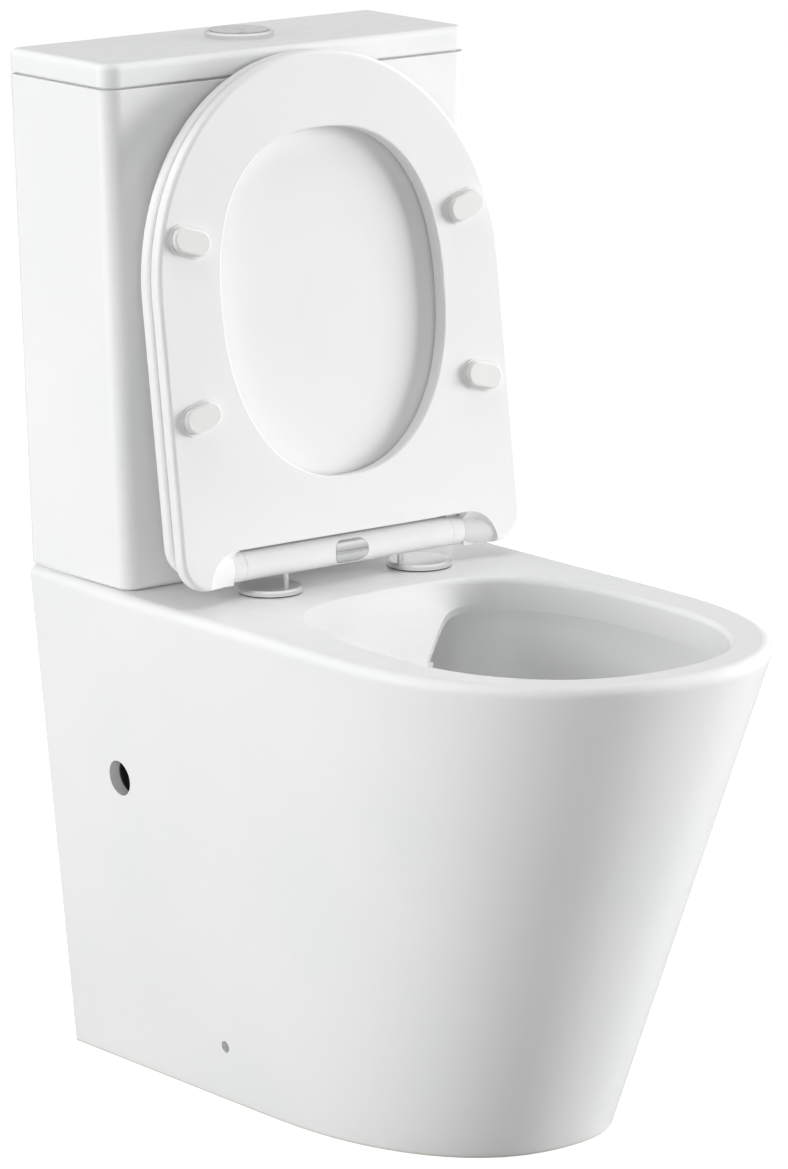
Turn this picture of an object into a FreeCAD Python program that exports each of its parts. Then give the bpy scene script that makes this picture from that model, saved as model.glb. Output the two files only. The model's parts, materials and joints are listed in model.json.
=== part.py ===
import FreeCAD, Part
import math
import os
import re

import Sketcher
from FreeCAD import Placement, Rotation, Vector

# Close-coupled toilet against a wall, in millimetres.
# Positions are worked out from the wall plane (y = 0, front of the toilet towards -y), the middle
# of the width (x = 0) and the floor (z = 0). Every piece is then moved forward by half the pan's
# length, so that the origin lies on the floor under the middle of the whole object.
SIZES = {
    # pan, outside
    "pan_height": 421,
    "pan_length": 648,
    "pan_rear_width": 347,
    "pan_width": 367,
    "pan_flare_depth": 190,
    "pan_straight_depth": 416,
    "base_width": 268,
    "base_length": 489,
    "base_straight_depth": 276,
    "outline_power": 2.26,
    "china_wall": 12,
    "shelf_thickness": 14,
    "pan_edge_radius": 8,
    # pan, bowl
    "bowl_width": 282,
    "bowl_rear_power": 3.1,
    "bowl_front_power": 2.3,
    "bowl_rear_depth": 262,
    "rim_front_width": 33,
    "rim_depth": 28,
    "rim_undercut": 7,
    "rim_lip_thickness": 6,
    "rim_edge_radius": 5,
    "hood_reach": 68,
    "hood_slant": 46.8,
    "hood_corner_softness": 18,
    "bowl_wall": 11,
    "sump_width": 68,
    "sump_floor_height": 84,
    "sump_rear_depth": 312,
    "sump_front_depth": 396,
    # pan, trap and waste outlet
    "trap_bore": 60,
    "trap_wall": 10,
    "trap_bend_radius": 46,
    "trap_entry_depth": 354,
    "trap_entry_height": 112,
    "trap_crown_depth": 222,
    "trap_crown_height": 238,
    "trap_foot_depth": 162,
    "outlet_height": 185,
    "outlet_setback": 60,
    "outlet_length": 58,
    "outlet_diameter": 102,
    "outlet_bore": 84,
    # pan, flush inlet and holes
    "flush_depth": 67,
    "inlet_cup_bore": 94,
    "inlet_throat_bore": 64,
    "inlet_throat_depth": 14,
    "duct_drop": 63,
    "duct_bore": 46,
    "duct_wall": 10,
    "side_hole_diameter": 30,
    "side_hole_depth": 111,
    "side_hole_height": 258,
    "floor_hole_diameter": 10,
    "floor_hole_depth": 222,
    "floor_hole_height": 48,
    "rear_opening_width": 140,
    "rear_opening_height": 300,
    # flat flush nozzle under the hood's edge
    "nozzle_side": 72,
    "nozzle_width": 46,
    "nozzle_length": 34,
    "nozzle_height": 12,
    "nozzle_wall": 3,
    "nozzle_reach": 3,
    # cistern
    "cistern_height": 414,
    "cistern_top_width": 373,
    "cistern_bottom_width": 347,
    "cistern_top_depth": 140,
    "cistern_bottom_depth": 139,
    "cistern_wall": 10,
    "cistern_floor": 12,
    "cistern_corner_radius": 15,
    "cistern_rear_radius": 8,
    "cistern_base_radius": 6,
    "cistern_rim_radius": 1.5,
    # cistern lid
    "cistern_lid_thickness": 21,
    "cistern_lid_edge_radius": 6,
    "lid_shadow_gap": 1.6,
    "lid_shadow_width": 6,
    "lid_lip_height": 9,
    "lid_lip_width": 6,
    "lid_lip_clearance": 2,
    # flush buttons
    "bezel_diameter": 58,
    "bezel_height": 5,
    "bezel_chamfer": 1.6,
    "button_hole_diameter": 54.4,
    "housing_clearance": 0.4,
    "housing_wall": 1.9,
    "housing_length": 36,
    "housing_floor": 3,
    "button_gap": 0.35,
    "button_rise": 6,
    "button_thickness": 4,
    "button_split_radius": 24,
    "button_split_offset": 26,
    "button_nut_diameter": 66,
    "button_nut_thickness": 7,
    "stem_diameter": 8,
    "stem_clearance": 0.4,
    "rod_diameter": 5,
    "rod_side": 17,
    "rod_front": 8,
    "rod_socket_depth": 22,
    "spring_diameter": 11,
    "spring_wire": 1,
    # flush valve
    "valve_tail_diameter": 60,
    "valve_bore": 50,
    "valve_tail_length": 44,
    "valve_flange_diameter": 80,
    "valve_flange_thickness": 5,
    "valve_washer_thickness": 2,
    "valve_lip_height": 4,
    "valve_lip_diameter": 56,
    "valve_nut_diameter": 84,
    "valve_nut_thickness": 12,
    "gasket_height": 14,
    "thread_clearance": 0.1,
    "tower_diameter": 68,
    "tower_wall": 3,
    "tower_height": 250,
    "tower_cap_thickness": 5,
    "tower_window_height": 60,
    "tower_window_width": 30,
    "tower_window_lift": 10,
    "overflow_diameter": 30,
    "overflow_wall": 2.4,
    "overflow_rise": 22,
    "overflow_clearance": 0.4,
    "seal_diameter": 57,
    "seal_thickness": 3,
    "seal_gap": 0.2,
    "seal_plate_thickness": 5,
    "half_float_diameter": 96,
    "half_float_height": 46,
    "half_float_lift": 120,
    # rockers that turn a press into a lift
    "rocker_lift": 13,
    "rocker_pivot_side": 28,
    "rocker_arm": 11,
    "rocker_end": 2.5,
    "rocker_width": 4,
    "rocker_thickness": 5,
    "rocker_gap": 0.7,
    "pivot_pin_diameter": 3,
    "pivot_clearance": 0.06,
    "lug_thickness": 2,
    "lug_gap": 0.4,
    "yoke_thickness": 5,
    "yoke_width": 8,
    # fill valve
    "fill_offset": 104,
    "fill_tail_diameter": 20.9,
    "fill_tail_length": 52,
    "fill_tail_free_length": 28,
    "fill_neck_depth": 0.5,
    "fill_neck_length": 2,
    "fill_bore": 12,
    "fill_flange_diameter": 38,
    "fill_flange_thickness": 5,
    "fill_washer_thickness": 2,
    "fill_body_diameter": 26,
    "fill_body_height": 76,
    "fill_riser_diameter": 19,
    "fill_riser_height": 132,
    "fill_nut_diameter": 32,
    "fill_nut_thickness": 10,
    "fill_hole_diameter": 40,
    "fill_head_diameter": 36,
    "fill_head_height": 26,
    "fill_float_diameter": 60,
    "fill_float_height": 60,
    "fill_float_lift": 96,
    "fill_float_clearance": 0.4,
    "link_rod_diameter": 3,
    "link_rod_side": 22,
    "lever_lift": 16,
    "lever_pivot_side": 8,
    "lever_width": 6,
    "lever_thickness": 6,
    "lever_slot_length": 13,
    "lever_slot_width": 4,
    "lever_overhang": 10,
    # cistern bolts
    "cistern_bolt_spacing": 140,
    "cistern_bolt_diameter": 8,
    "cistern_bolt_length": 55,
    "cistern_bolt_hole": 12,
    "bolt_head_size": 15,
    "bolt_head_height": 5.5,
    "bolt_washer_diameter": 22,
    "bolt_washer_thickness": 3,
    "plate_washer_diameter": 24,
    "plate_washer_thickness": 2,
    "wing_nut_diameter": 16,
    "wing_nut_height": 12,
    "wing_nut_span": 34,
    "wing_thickness": 3,
    # seat hinge
    "hinge_spacing": 155,
    "hinge_fix_depth": 206.6,
    "hinge_axis_depth": 204,
    "hinge_axis_height": 24.5,
    "hinge_bar_diameter": 24.8,
    "hinge_bar_length": 214,
    "hinge_ear_width": 11.6,
    "hinge_side_gap": 0.3,
    "hinge_pin_diameter": 8,
    "hinge_pin_clearance": 0.06,
    "damper_diameter": 14,
    "damper_length": 34,
    "disc_diameter": 54,
    "disc_thickness": 4.5,
    "disc_chamfer": 1.5,
    "disc_washer_thickness": 1,
    "post_diameter": 5,
    "post_clearance": 0.06,
    "post_inset": 18,
    "post_height": 17,
    "stud_diameter": 8,
    "stud_length": 48,
    "stud_hole_diameter": 15,
    "stud_sleeve_diameter": 14.7,
    "stud_sleeve_length": 36,
    "stud_nut_size": 13,
    "stud_nut_thickness": 6.5,
    "release_width": 34,
    "release_height": 19,
    "release_depth": 9,
    "release_corner_radius": 8.5,
    "release_travel": 2.5,
    "release_clearance": 0.35,
    "release_spring_diameter": 6,
    "release_spring_length": 6,
    # seat and its lid, measured from the hinge axis
    "seat_lean": 7.4,
    "seat_width": 350,
    "seat_rear_reach": 13.7,
    "seat_straight_reach": 223,
    "seat_front_reach": 411,
    "seat_face_offset": 18,
    "seat_thickness": 13,
    "seat_corner_radius": 26,
    "seat_edge_radius": 4,
    "seat_hole_width": 226,
    "seat_hole_rear": 62,
    "seat_hole_middle": 210,
    "seat_hole_front": 348,
    "seat_hole_rear_power": 2.2,
    "seat_hole_front_power": 2.4,
    "seat_hole_edge_radius": 1.5,
    "seat_lip_width": 2,
    "seat_lip_slope": 10,
    "seat_dish_width": 30,
    "seat_dish_depth": 4,
    "seat_lid_gap": 2,
    "seat_lid_thickness": 12,
    "seat_lid_rear_reach": 2,
    "seat_lid_edge_radius": 4,
    "hinge_notch_clearance": 0.9,
    "seat_notch_height": 15.5,
    "cheek_length": 22,
    "cheek_scoop_depth": 10,
    "cheek_scoop_slope": 8,
    "cheek_nose_length": 30,
    "cheek_nose_diameter": 56,
    "cheek_nose_drop": 0.4,
    # pads
    "buffer_length": 40,
    "buffer_width": 25,
    "buffer_flange": 1.5,
    "buffer_height": 6.3,
    "buffer_step": 2,
    "buffer_edge_radius": 2,
    "front_buffer_reach": 269,
    "front_buffer_side": 141,
    "rear_buffer_reach": 127,
    "rear_buffer_side": 145,
    "front_buffer_tilt": 17,
    "rear_buffer_tilt": -14,
    "lid_buffer_diameter": 16,
    "lid_buffer_gap": 0.2,
    "lid_buffer_reach": 285,
    "lid_buffer_side": 138,
}

doc = FreeCAD.newDocument("toilet")
sheet = doc.addObject("Spreadsheet::Sheet", "dims")
for row, (name, value) in enumerate(SIZES.items(), start=1):
    sheet.set(f"A{row}", name)
    sheet.set(f"B{row}", str(value))
    sheet.setAlias(f"B{row}", name)
doc.recompute()

PIECES = []
UPRIGHT = Rotation()
ALONG = {
    "x": Rotation(Vector(0, 1, 0), 90),
    "y": Rotation(Vector(1, 0, 0), -90),
    "z": UPRIGHT,
}
ORIGIN = ("0", "0", "0")
SIDES = ("-", "")


def size(expression):
    """The value of an expression in the sheet's sizes."""
    return float(sheet.evalExpression(expression))


def bound(expression):
    """The same expression as other objects read it, with each size looked up in the sheet."""
    def looked_up(word):
        return "dims." + word.group() if word.group() in SIZES else word.group()

    return re.sub(r"[a-z_]{3,}", looked_up, expression)


def bind(thing, **expressions):
    """Ties properties to expressions in the sheet's sizes."""
    for name, expression in expressions.items():
        thing.setExpression(name, bound(expression))
    return thing


def move(thing, at, turned=UPRIGHT):
    """Ties a thing's place to three expressions."""
    thing.Placement = Placement(Vector(), turned)
    for axis, expression in zip("xyz", at):
        thing.setExpression("Placement.Base." + axis, bound(expression))
    return thing


def cylinder(diameter, height, at=ORIGIN, along="z"):
    """A round bar that starts at a point and runs along an axis."""
    bar = bind(doc.addObject("Part::Cylinder", "bar"), Radius=f"({diameter}) / 2", Height=height)
    return move(bar, at, ALONG[along])


def cone(diameter, far_diameter, height, at=ORIGIN, along="z"):
    """A tapered bar that starts at a point and runs along an axis."""
    taper = doc.addObject("Part::Cone", "taper")
    bind(taper, Radius1=f"({diameter}) / 2", Radius2=f"({far_diameter}) / 2", Height=height)
    return move(taper, at, ALONG[along])


def block(across, deep, tall, at=ORIGIN):
    """A box on the middle of its bottom face."""
    box = bind(doc.addObject("Part::Box", "block"), Length=across, Width=deep, Height=tall)
    x, y, z = at
    return move(box, (f"{x} - ({across}) / 2", f"{y} - ({deep}) / 2", z))


def hexagon(across_corners, height, at=ORIGIN):
    """A six-sided bar on the middle of its bottom face."""
    bar = doc.addObject("Part::Prism", "hexagon")
    bar.Polygon = 6
    bind(bar, Circumradius=f"({across_corners}) / 2", Height=height)
    return move(bar, at)


def fuse(*shapes):
    """One solid made of several that touch or overlap."""
    joined = doc.addObject("Part::MultiFuse", "joined")
    joined.Shapes = list(shapes)
    return joined


def cut(base, *tools):
    """A solid with others taken out of it."""
    result = doc.addObject("Part::Cut", "cut")
    result.Base = base
    result.Tool = tools[0] if len(tools) == 1 else fuse(*tools)
    return result


def common(first, second):
    """What two solids share."""
    shared = doc.addObject("Part::Common", "shared")
    shared.Base = first
    shared.Tool = second
    return shared


def around(diameter):
    """The bore that goes over a thread of a diameter."""
    return f"{diameter} + 2 * thread_clearance"


def tube(outer, inner, height, at=ORIGIN):
    """A ring or pipe standing on a point."""
    return cut(cylinder(outer, height, at), cylinder(inner, height, at))


def rounded(base, choices):
    """A solid with edges rounded: choices pairs a radius with a test of an edge."""
    doc.recompute()
    fillet = doc.addObject("Part::Fillet", "rounded")
    fillet.Base = base
    fillet.Edges = [
        (number, radius, radius)
        for number, edge in enumerate(base.Shape.Edges, start=1)
        for radius, test in choices
        if test(edge)
    ]
    return fillet


def turned(outline):
    """A revolved body: outline is a closed list of (radius, height) expressions, none below zero."""
    body = doc.addObject("PartDesign::Body", "turned")
    sketch = body.newObject("Sketcher::SketchObject", "outline")
    planes = {plane.Role: plane for plane in body.Origin.OriginFeatures}
    sketch.AttachmentSupport = [(planes["XZ_Plane"], "")]
    sketch.MapMode = "FlatFace"
    corners = [Vector(size(radius), size(height), 0) for radius, height in outline]
    last = len(corners) - 1
    for index, corner in enumerate(corners):
        following = corners[0 if index == last else index + 1]
        sketch.addGeometry(Part.LineSegment(corner, following), False)
    for index in range(len(corners)):
        following = 0 if index == last else index + 1
        sketch.addConstraint(Sketcher.Constraint("Coincident", index, 2, following, 1))
    for index, (corner, expressions) in enumerate(zip(corners, outline)):
        for kind, axis, value, expression in (
            ("DistanceX", -2, corner.x, expressions[0]),
            ("DistanceY", -1, corner.y, expressions[1]),
        ):
            if expression == "0":
                sketch.addConstraint(Sketcher.Constraint("PointOnObject", index, 1, axis))
            else:
                number = sketch.addConstraint(Sketcher.Constraint(kind, -1, 1, index, 1, value))
                sketch.setExpression(f"Constraints[{number}]", bound(expression))
    revolution = body.newObject("PartDesign::Revolution", "revolution")
    revolution.Profile = sketch
    revolution.ReferenceAxis = (sketch, ["V_Axis"])
    revolution.Angle = 360
    return body


def group(things):
    """Several separate solids kept together."""
    together = doc.addObject("Part::Compound", "group")
    together.Links = list(things)
    return together


def shaped(shape):
    """A freeform solid worked out from the sheet's sizes."""
    thing = doc.addObject("Part::Feature", "shaped")
    thing.Shape = shape
    return thing


def piece(thing, label, at=ORIGIN, along="z"):
    """Names a finished piece and puts it in its place, measured from wall, middle and floor."""
    x, y, z = at
    thing.Label = label
    move(thing, (x, f"pan_length / 2 + {y}", z), ALONG[along])
    PIECES.append(thing)
    return thing


def leaning_piece(thing, label):
    """Names a piece that is built about the hinge axis and leans back with the raised seat."""
    piece(thing, label, ("0", "-hinge_axis_depth", "pan_height + hinge_axis_height"))
    thing.Placement = Placement(thing.Placement.Base, Rotation(Vector(1, 0, 0), -size("seat_lean")))
    thing.setExpression("Placement.Rotation.Angle", bound("-seat_lean * 1 deg"))
    return thing


# Outlines


def skirt_outline(rear_width, width, straight_depth, length, inset, height):
    """The pan's plan outline: straight back, sides that flare a little, and a round front."""
    power = 2 / size("outline_power")
    flare = size("pan_flare_depth")
    half_rear = rear_width / 2 - inset
    half = width / 2 - inset
    straight = max(straight_depth, flare)
    front = length - inset - straight
    side = []
    for step in range(4):
        share = step / 4
        side.append((half_rear + (half - half_rear) * math.sin(share * math.pi / 2),
                     inset + (flare - inset) * share))
    for share in (0, 0.5):
        side.append((half, flare + (straight - flare) * share))
    for angle in range(0, 90, 15):
        turn = math.radians(angle)
        side.append((half * math.cos(turn) ** power, straight + front * math.sin(turn) ** power))
    right = [Vector(x, -depth, height) for x, depth in side]
    left = [Vector(-x, -depth, height) for x, depth in reversed(side)]
    curve = Part.BSplineCurve()
    curve.interpolate(Points=right + [Vector(0, -length + inset, height)] + left)
    back = Part.LineSegment(left[-1], right[0])
    return Part.Wire([curve.toShape(), back.toShape()])


def egg(half_width, rear, middle, front, rear_power, front_power):
    """Points round an egg, across and along; a higher power makes that end squarer."""
    points = []
    for step in range(28):
        turn = 2 * math.pi * step / 28
        across = math.cos(turn)
        along = math.sin(turn)
        reach, power = (front - middle, 2 / front_power) if along > 0 else (middle - rear, 2 / rear_power)
        points.append((half_width * math.copysign(abs(across) ** power, across),
                       middle + reach * math.copysign(abs(along) ** power, along)))
    return points


def closed_curve(points, stations):
    """A smooth closed curve through points; curves with the same stations can be joined point to point."""
    curve = Part.BSplineCurve()
    curve.interpolate(Points=points, PeriodicFlag=True, Parameters=stations)
    return Part.Wire([curve.toShape()])


def stations_of(points):
    """How far along its chain of points each point of a closed curve lies."""
    stations = [0]
    for here, there in zip(points, points[1:] + points[:1]):
        stations.append(stations[-1] + math.dist(here, there))
    return stations


def behind_hood(x, depth):
    """A point of the bowl's edge, brought forward to the hood's slanting edge if it lies behind it."""
    slant = math.radians(size("hood_slant"))
    softness = size("hood_corner_softness")
    behind = (size("bowl_rear_depth + hood_reach") - depth) * math.cos(slant) - x * math.sin(slant)
    push = softness * math.log(1 + math.exp(behind / softness))
    return x + push * math.sin(slant), depth + push * math.cos(slant)


def bowl_outline(half_width, rear, front, height, hooded=False):
    """A level outline of the bowl, square at the back and round at the front, with the hood or without."""
    middle = (rear + front) / 2
    points = egg(half_width, rear, middle, front, size("bowl_rear_power"), size("bowl_front_power"))
    stations = stations_of(points)
    if hooded:
        points = [behind_hood(*point) for point in points]
    return closed_curve([Vector(x, -depth, height) for x, depth in points], stations)


def rounded_path(points, radius):
    """Straight runs joined by tangent arcs of one radius."""
    edges = []
    start = points[0]
    for before, corner, after in zip(points, points[1:], points[2:]):
        inward = (before - corner).normalize()
        outward = (after - corner).normalize()
        half_angle = inward.getAngle(outward) / 2
        reach = radius / math.tan(half_angle)
        enter = corner + inward * reach
        leave = corner + outward * reach
        middle_way = (inward + outward).normalize()
        middle = corner + middle_way * (radius / math.sin(half_angle) - radius)
        edges.append(Part.LineSegment(start, enter).toShape())
        edges.append(Part.Arc(enter, middle, leave).toShape())
        start = leave
    edges.append(Part.LineSegment(start, points[-1]).toShape())
    return Part.Wire(edges)


def pipe(path, radius):
    """A round solid swept along a path."""
    start = path.Edges[0].Vertexes[0].Point
    direction = path.Edges[0].tangentAt(path.Edges[0].FirstParameter)
    section = Part.Wire([Part.Circle(start, direction, radius).toShape()])
    return path.makePipeShell([section], True, False)


def post(diameter, top, bottom, x, depth):
    """An upright round solid between two heights, for cutting and joining."""
    return Part.makeCylinder(diameter / 2, top - bottom, Vector(x, -depth, bottom))


def lying(diameter, near, far, height):
    """A round solid along the depth, between two depths on the middle plane."""
    return Part.makeCylinder(diameter / 2, far - near, Vector(0, -near, height), Vector(0, -1, 0))


def seat_outline(width, rear, straight, front, corner, level):
    """The seat's D outline about the hinge axis: x across, z away from the axis, y = level."""
    half = width / 2
    cut_corner = corner * (1 - math.sqrt(0.5))

    def point(x, z):
        return Vector(x, level, z)

    if front - straight > half:
        ellipse = Part.Ellipse(point(0, front), point(half, straight), point(0, straight))
    else:
        ellipse = Part.Ellipse(point(half, straight), point(0, front), point(0, straight))
    tip = point(0, front)
    start = point(half, straight)
    finish = point(-half, straight)
    edges = [
        Part.LineSegment(point(half, rear + corner), start).toShape(),
        elliptic_edge(ellipse, start, tip),
        elliptic_edge(ellipse, tip, finish),
        Part.LineSegment(finish, point(-half, rear + corner)).toShape(),
        Part.Arc(point(-half, rear + corner), point(-half + cut_corner, rear + cut_corner),
                 point(-half + corner, rear)).toShape(),
        Part.LineSegment(point(-half + corner, rear), point(half - corner, rear)).toShape(),
        Part.Arc(point(half - corner, rear), point(half - cut_corner, rear + cut_corner),
                 point(half, rear + corner)).toShape(),
    ]
    return Part.Wire(Part.__sortEdges__(edges))


def elliptic_edge(ellipse, start, finish):
    """The shorter stretch of an ellipse between two of its points."""
    first = ellipse.parameter(start)
    last = ellipse.parameter(finish)
    if (last - first) % (2 * math.pi) > math.pi:
        first, last = last, first
    return Part.ArcOfEllipse(ellipse, first, last).toShape()


def hole_outline(grow, level):
    """The seat's opening, grown by a margin."""
    points = egg(size("seat_hole_width / 2") + grow, size("seat_hole_rear") - grow, size("seat_hole_middle"),
                 size("seat_hole_front") + grow, size("seat_hole_rear_power"), size("seat_hole_front_power"))
    return closed_curve([Vector(x, level, reach) for x, reach in points], stations_of(points))


# Pan


def rim_front_depth():
    """How far from the wall the bowl's inside reaches under its rim, where the sloping skirt backs it."""
    return size("pan_length - (pan_length - base_length) * rim_depth / pan_height - china_wall")


def bowl_sections(wall):
    """Level outlines of the bowl below its rim, grown by a wall, from the rim down to the sump."""
    top = size("pan_height - rim_depth")
    floor = size("sump_floor_height") - wall
    rim_half = size("bowl_width / 2 + rim_undercut") + wall
    sump_half = size("sump_width / 2") + wall
    rim_front = rim_front_depth() + wall
    sump_front = size("sump_front_depth") + wall
    rim_rear = size("bowl_rear_depth") - wall
    sump_rear = size("sump_rear_depth") - wall
    wires = []
    for share in (0, 0.16, 0.36, 0.58, 0.8, 1):
        left_over = 1 - share ** 1.15
        wires.append(bowl_outline(
            sump_half + (rim_half - sump_half) * left_over,
            sump_rear + (rim_rear - sump_rear) * (1 - share),
            sump_front + (rim_front - sump_front) * left_over,
            top + (floor - top) * share,
        ))
    return wires


def pan_shape():
    """Hollow china pan: skirt, shelf, rimless bowl, trap, waste outlet and flush duct."""
    height = size("pan_height")
    wall = size("china_wall")
    base = (size("base_width"), size("base_width"), size("base_straight_depth"), size("base_length"))
    # The rounded top edge takes a little off the front, so the outline it is cut from is that much longer.
    lean = math.atan2(size("pan_length - base_length"), height)
    trim = size("pan_edge_radius") * ((1 + math.sin(lean)) / math.cos(lean) - 1)
    top = (size("pan_rear_width"), size("pan_width"), size("pan_straight_depth"), size("pan_length") + trim)
    outside = Part.makeLoft([skirt_outline(*base, 0, 0), skirt_outline(*top, 0, height)], True, True)
    arris = [
        edge for edge in outside.Edges
        if edge.Curve.TypeId == "Part::GeomBSplineCurve" and edge.BoundBox.ZMin > height - 1
    ]
    outside = outside.makeFillet(size("pan_edge_radius"), arris)

    # The hollow under the shelf, open at the floor.
    hollow_top = height - size("shelf_thickness")
    hollow = Part.makeLoft(
        [skirt_outline(*base, wall, 0), skirt_outline(*top, wall, hollow_top)], True, True)

    # What stands in the hollow: bowl, trap, waste outlet, flush duct and inlet cup.
    lining = size("bowl_wall")
    bowl_shell = Part.makeLoft(bowl_sections(lining), True, False)
    rim_half = size("bowl_width / 2 + rim_undercut") + lining
    collar_outline = bowl_outline(rim_half, size("bowl_rear_depth") - lining, rim_front_depth() + lining,
                                  height - size("rim_depth"))
    collar = Part.Face(collar_outline).extrude(Vector(0, 0, size("rim_depth - shelf_thickness / 2")))
    trap_path = rounded_path([
        Vector(0, -size("trap_entry_depth"), size("trap_entry_height")),
        Vector(0, -size("trap_crown_depth"), size("trap_crown_height")),
        Vector(0, -size("trap_foot_depth"), size("outlet_height")),
        Vector(0, -size("outlet_setback + outlet_length / 2"), size("outlet_height")),
    ], size("trap_bend_radius"))
    trap_radius = size("trap_bore / 2")
    trap = pipe(trap_path, trap_radius + size("trap_wall"))
    outlet_end = size("outlet_setback")
    outlet_start = size("outlet_setback + outlet_length")
    outlet = lying(size("outlet_diameter"), outlet_end, outlet_start, size("outlet_height"))
    flush = size("flush_depth")
    duct_height = size("pan_height - duct_drop")
    duct_outside = size("duct_bore + 2 * duct_wall")
    duct_end = size("bowl_rear_depth + hood_reach / 3")
    duct = lying(duct_outside, flush, size("bowl_rear_depth"), duct_height)
    cup_floor = size("pan_height - valve_nut_thickness - gasket_height")
    cup_outside = size("inlet_cup_bore + 2 * duct_wall")
    cup = post(cup_outside, hollow_top, cup_floor - size("inlet_throat_depth + duct_wall"), 0, flush)
    cup_foot = post(duct_outside, cup_floor, duct_height - duct_outside / 2, 0, flush)
    fittings = bowl_shell.fuse([collar, trap, outlet, duct, cup, cup_foot])
    body = outside.cut(hollow.cut(fittings))

    # What is taken out: bowl, rim, trap, outlet, flush way and holes.
    bowl = Part.makeLoft(bowl_sections(0), True, False)
    half_opening = size("bowl_width / 2")
    rear = size("bowl_rear_depth")
    front = size("pan_length - rim_front_width")
    lip = size("rim_lip_thickness")
    lip_outline = bowl_outline(half_opening, rear, front, height - size("rim_depth") + lip, True)
    rim = Part.makeLoft([bowl_outline(half_opening, rear, front, height), lip_outline], True, True)
    rim_mouth = Part.Face(lip_outline).extrude(Vector(0, 0, -lip))
    waste = pipe(trap_path, trap_radius)
    outlet_bore = lying(size("outlet_bore"), outlet_end, size("outlet_setback + outlet_length / 2"),
                        size("outlet_height"))
    flush_way = lying(size("duct_bore"), flush, duct_end, duct_height)
    elbow = Part.makeSphere(size("duct_bore / 2"), Vector(0, -flush, duct_height))
    throat = post(size("inlet_throat_bore"), cup_floor, cup_floor - size("inlet_throat_depth"), 0, flush)
    drop = post(size("duct_bore"), cup_floor, duct_height, 0, flush)
    cup_bore = post(size("inlet_cup_bore"), height, cup_floor, 0, flush)
    taken = [bowl, rim, rim_mouth, waste, outlet_bore, flush_way, elbow, throat, drop, cup_bore]
    for side in (-1, 1):
        bolt_side = side * size("cistern_bolt_spacing / 2")
        stud_side = side * size("hinge_spacing / 2")
        taken.append(post(size("cistern_bolt_hole"), height, cup_floor, bolt_side, flush))
        taken.append(post(size("stud_hole_diameter"), height, hollow_top, stud_side, size("hinge_fix_depth")))
    taken.append(post(size("fill_hole_diameter"), height, hollow_top, -size("fill_offset"), flush))
    across = size("pan_width")
    for name in ("side_hole", "floor_hole"):
        taken.append(Part.makeCylinder(
            size(name + "_diameter / 2"), across,
            Vector(-across / 2, -size(name + "_depth"), size(name + "_height")), Vector(1, 0, 0)))
    opening_width = size("rear_opening_width")
    taken.append(Part.makeBox(opening_width, wall, size("rear_opening_height"),
                              Vector(-opening_width / 2, -wall, 0)))
    body = body.cut(taken)
    mouth_edge = [
        edge for edge in body.Edges
        if edge.BoundBox.ZMin > height - 0.01 and edge.BoundBox.XLength > half_opening and edge.isClosed()
    ]
    return body.makeFillet(size("rim_edge_radius"), mouth_edge)


def flush_nozzle_shape():
    """A flat spout against the underside of the hood, square to its slanting edge."""
    width = size("nozzle_width")
    length = size("nozzle_length")
    height = size("nozzle_height")
    wall = size("nozzle_wall")
    front = -size("nozzle_reach")
    spout = Part.makeBox(width, length, height, Vector(-width / 2, front, -height))
    corners = [edge for edge in spout.Edges if edge.BoundBox.YLength > length / 2]
    spout = spout.makeFillet(wall, corners)
    slot = Part.makeBox(width - 2 * wall, length, height - 2 * wall,
                        Vector(wall - width / 2, front, wall - height))
    slant = size("hood_slant")
    side = size("nozzle_side")
    edge_depth = size("bowl_rear_depth + hood_reach") + side * math.tan(math.radians(slant))
    for solid in (spout, slot):
        solid.rotate(Vector(), Vector(0, 0, 1), slant)
        solid.translate(Vector(-side, -edge_depth, size("pan_height - rim_depth")))
    return spout.cut(slot)


piece(shaped(pan_shape()), "pan")
piece(shaped(flush_nozzle_shape()), "flush_nozzle")

# Cistern and its lid
FLOOR = "pan_height + cistern_floor"
LID_BASE = "pan_height + cistern_height"
LID_TOP = "pan_height + cistern_height + cistern_lid_thickness"


def tapered_box(inset, height):
    """The tank's taper with its back to the wall, drawn in from the outside by an inset."""
    wedge = doc.addObject("Part::Wedge", "tapered_box")
    half_bottom = f"(cistern_bottom_width / 2 - {inset})"
    half_top = f"(cistern_top_width / 2 - {inset})"
    bind(wedge, Xmin="-" + half_bottom, Xmax=half_bottom, X2min="-" + half_top, X2max=half_top,
         Ymin="0", Ymax=height, Zmin=inset, Z2min=inset,
         Zmax=f"cistern_bottom_depth - {inset}", Z2max=f"cistern_top_depth - {inset}")
    wedge.Placement = Placement(Vector(), Rotation(Vector(1, 0, 0), 90))
    return wedge


def upright_edge(front):
    """A test for upright edges at the front or at the back of the tank."""
    middle = -size("cistern_bottom_depth / 2")
    shortest = size("lid_lip_height / 2")

    def test(edge):
        box = edge.BoundBox
        upright = box.ZLength > shortest and box.ZLength > 5 * max(box.XLength, box.YLength)
        return upright and (box.Center.y < middle) == front

    return test


def level_edge(height):
    """A test for edges that lie at one height."""
    return lambda edge: abs(edge.BoundBox.ZMin - height) < 0.01 and abs(edge.BoundBox.ZMax - height) < 0.01


def tank_corners(base, inset):
    """The tank's upright edges rounded, drawn in by an inset."""
    front_radius = size(f"cistern_corner_radius - {inset}")
    rear_radius = max(size(f"cistern_rear_radius - {inset}"), front_radius / 4)
    return rounded(base, [(front_radius, upright_edge(True)), (rear_radius, upright_edge(False))])


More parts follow.
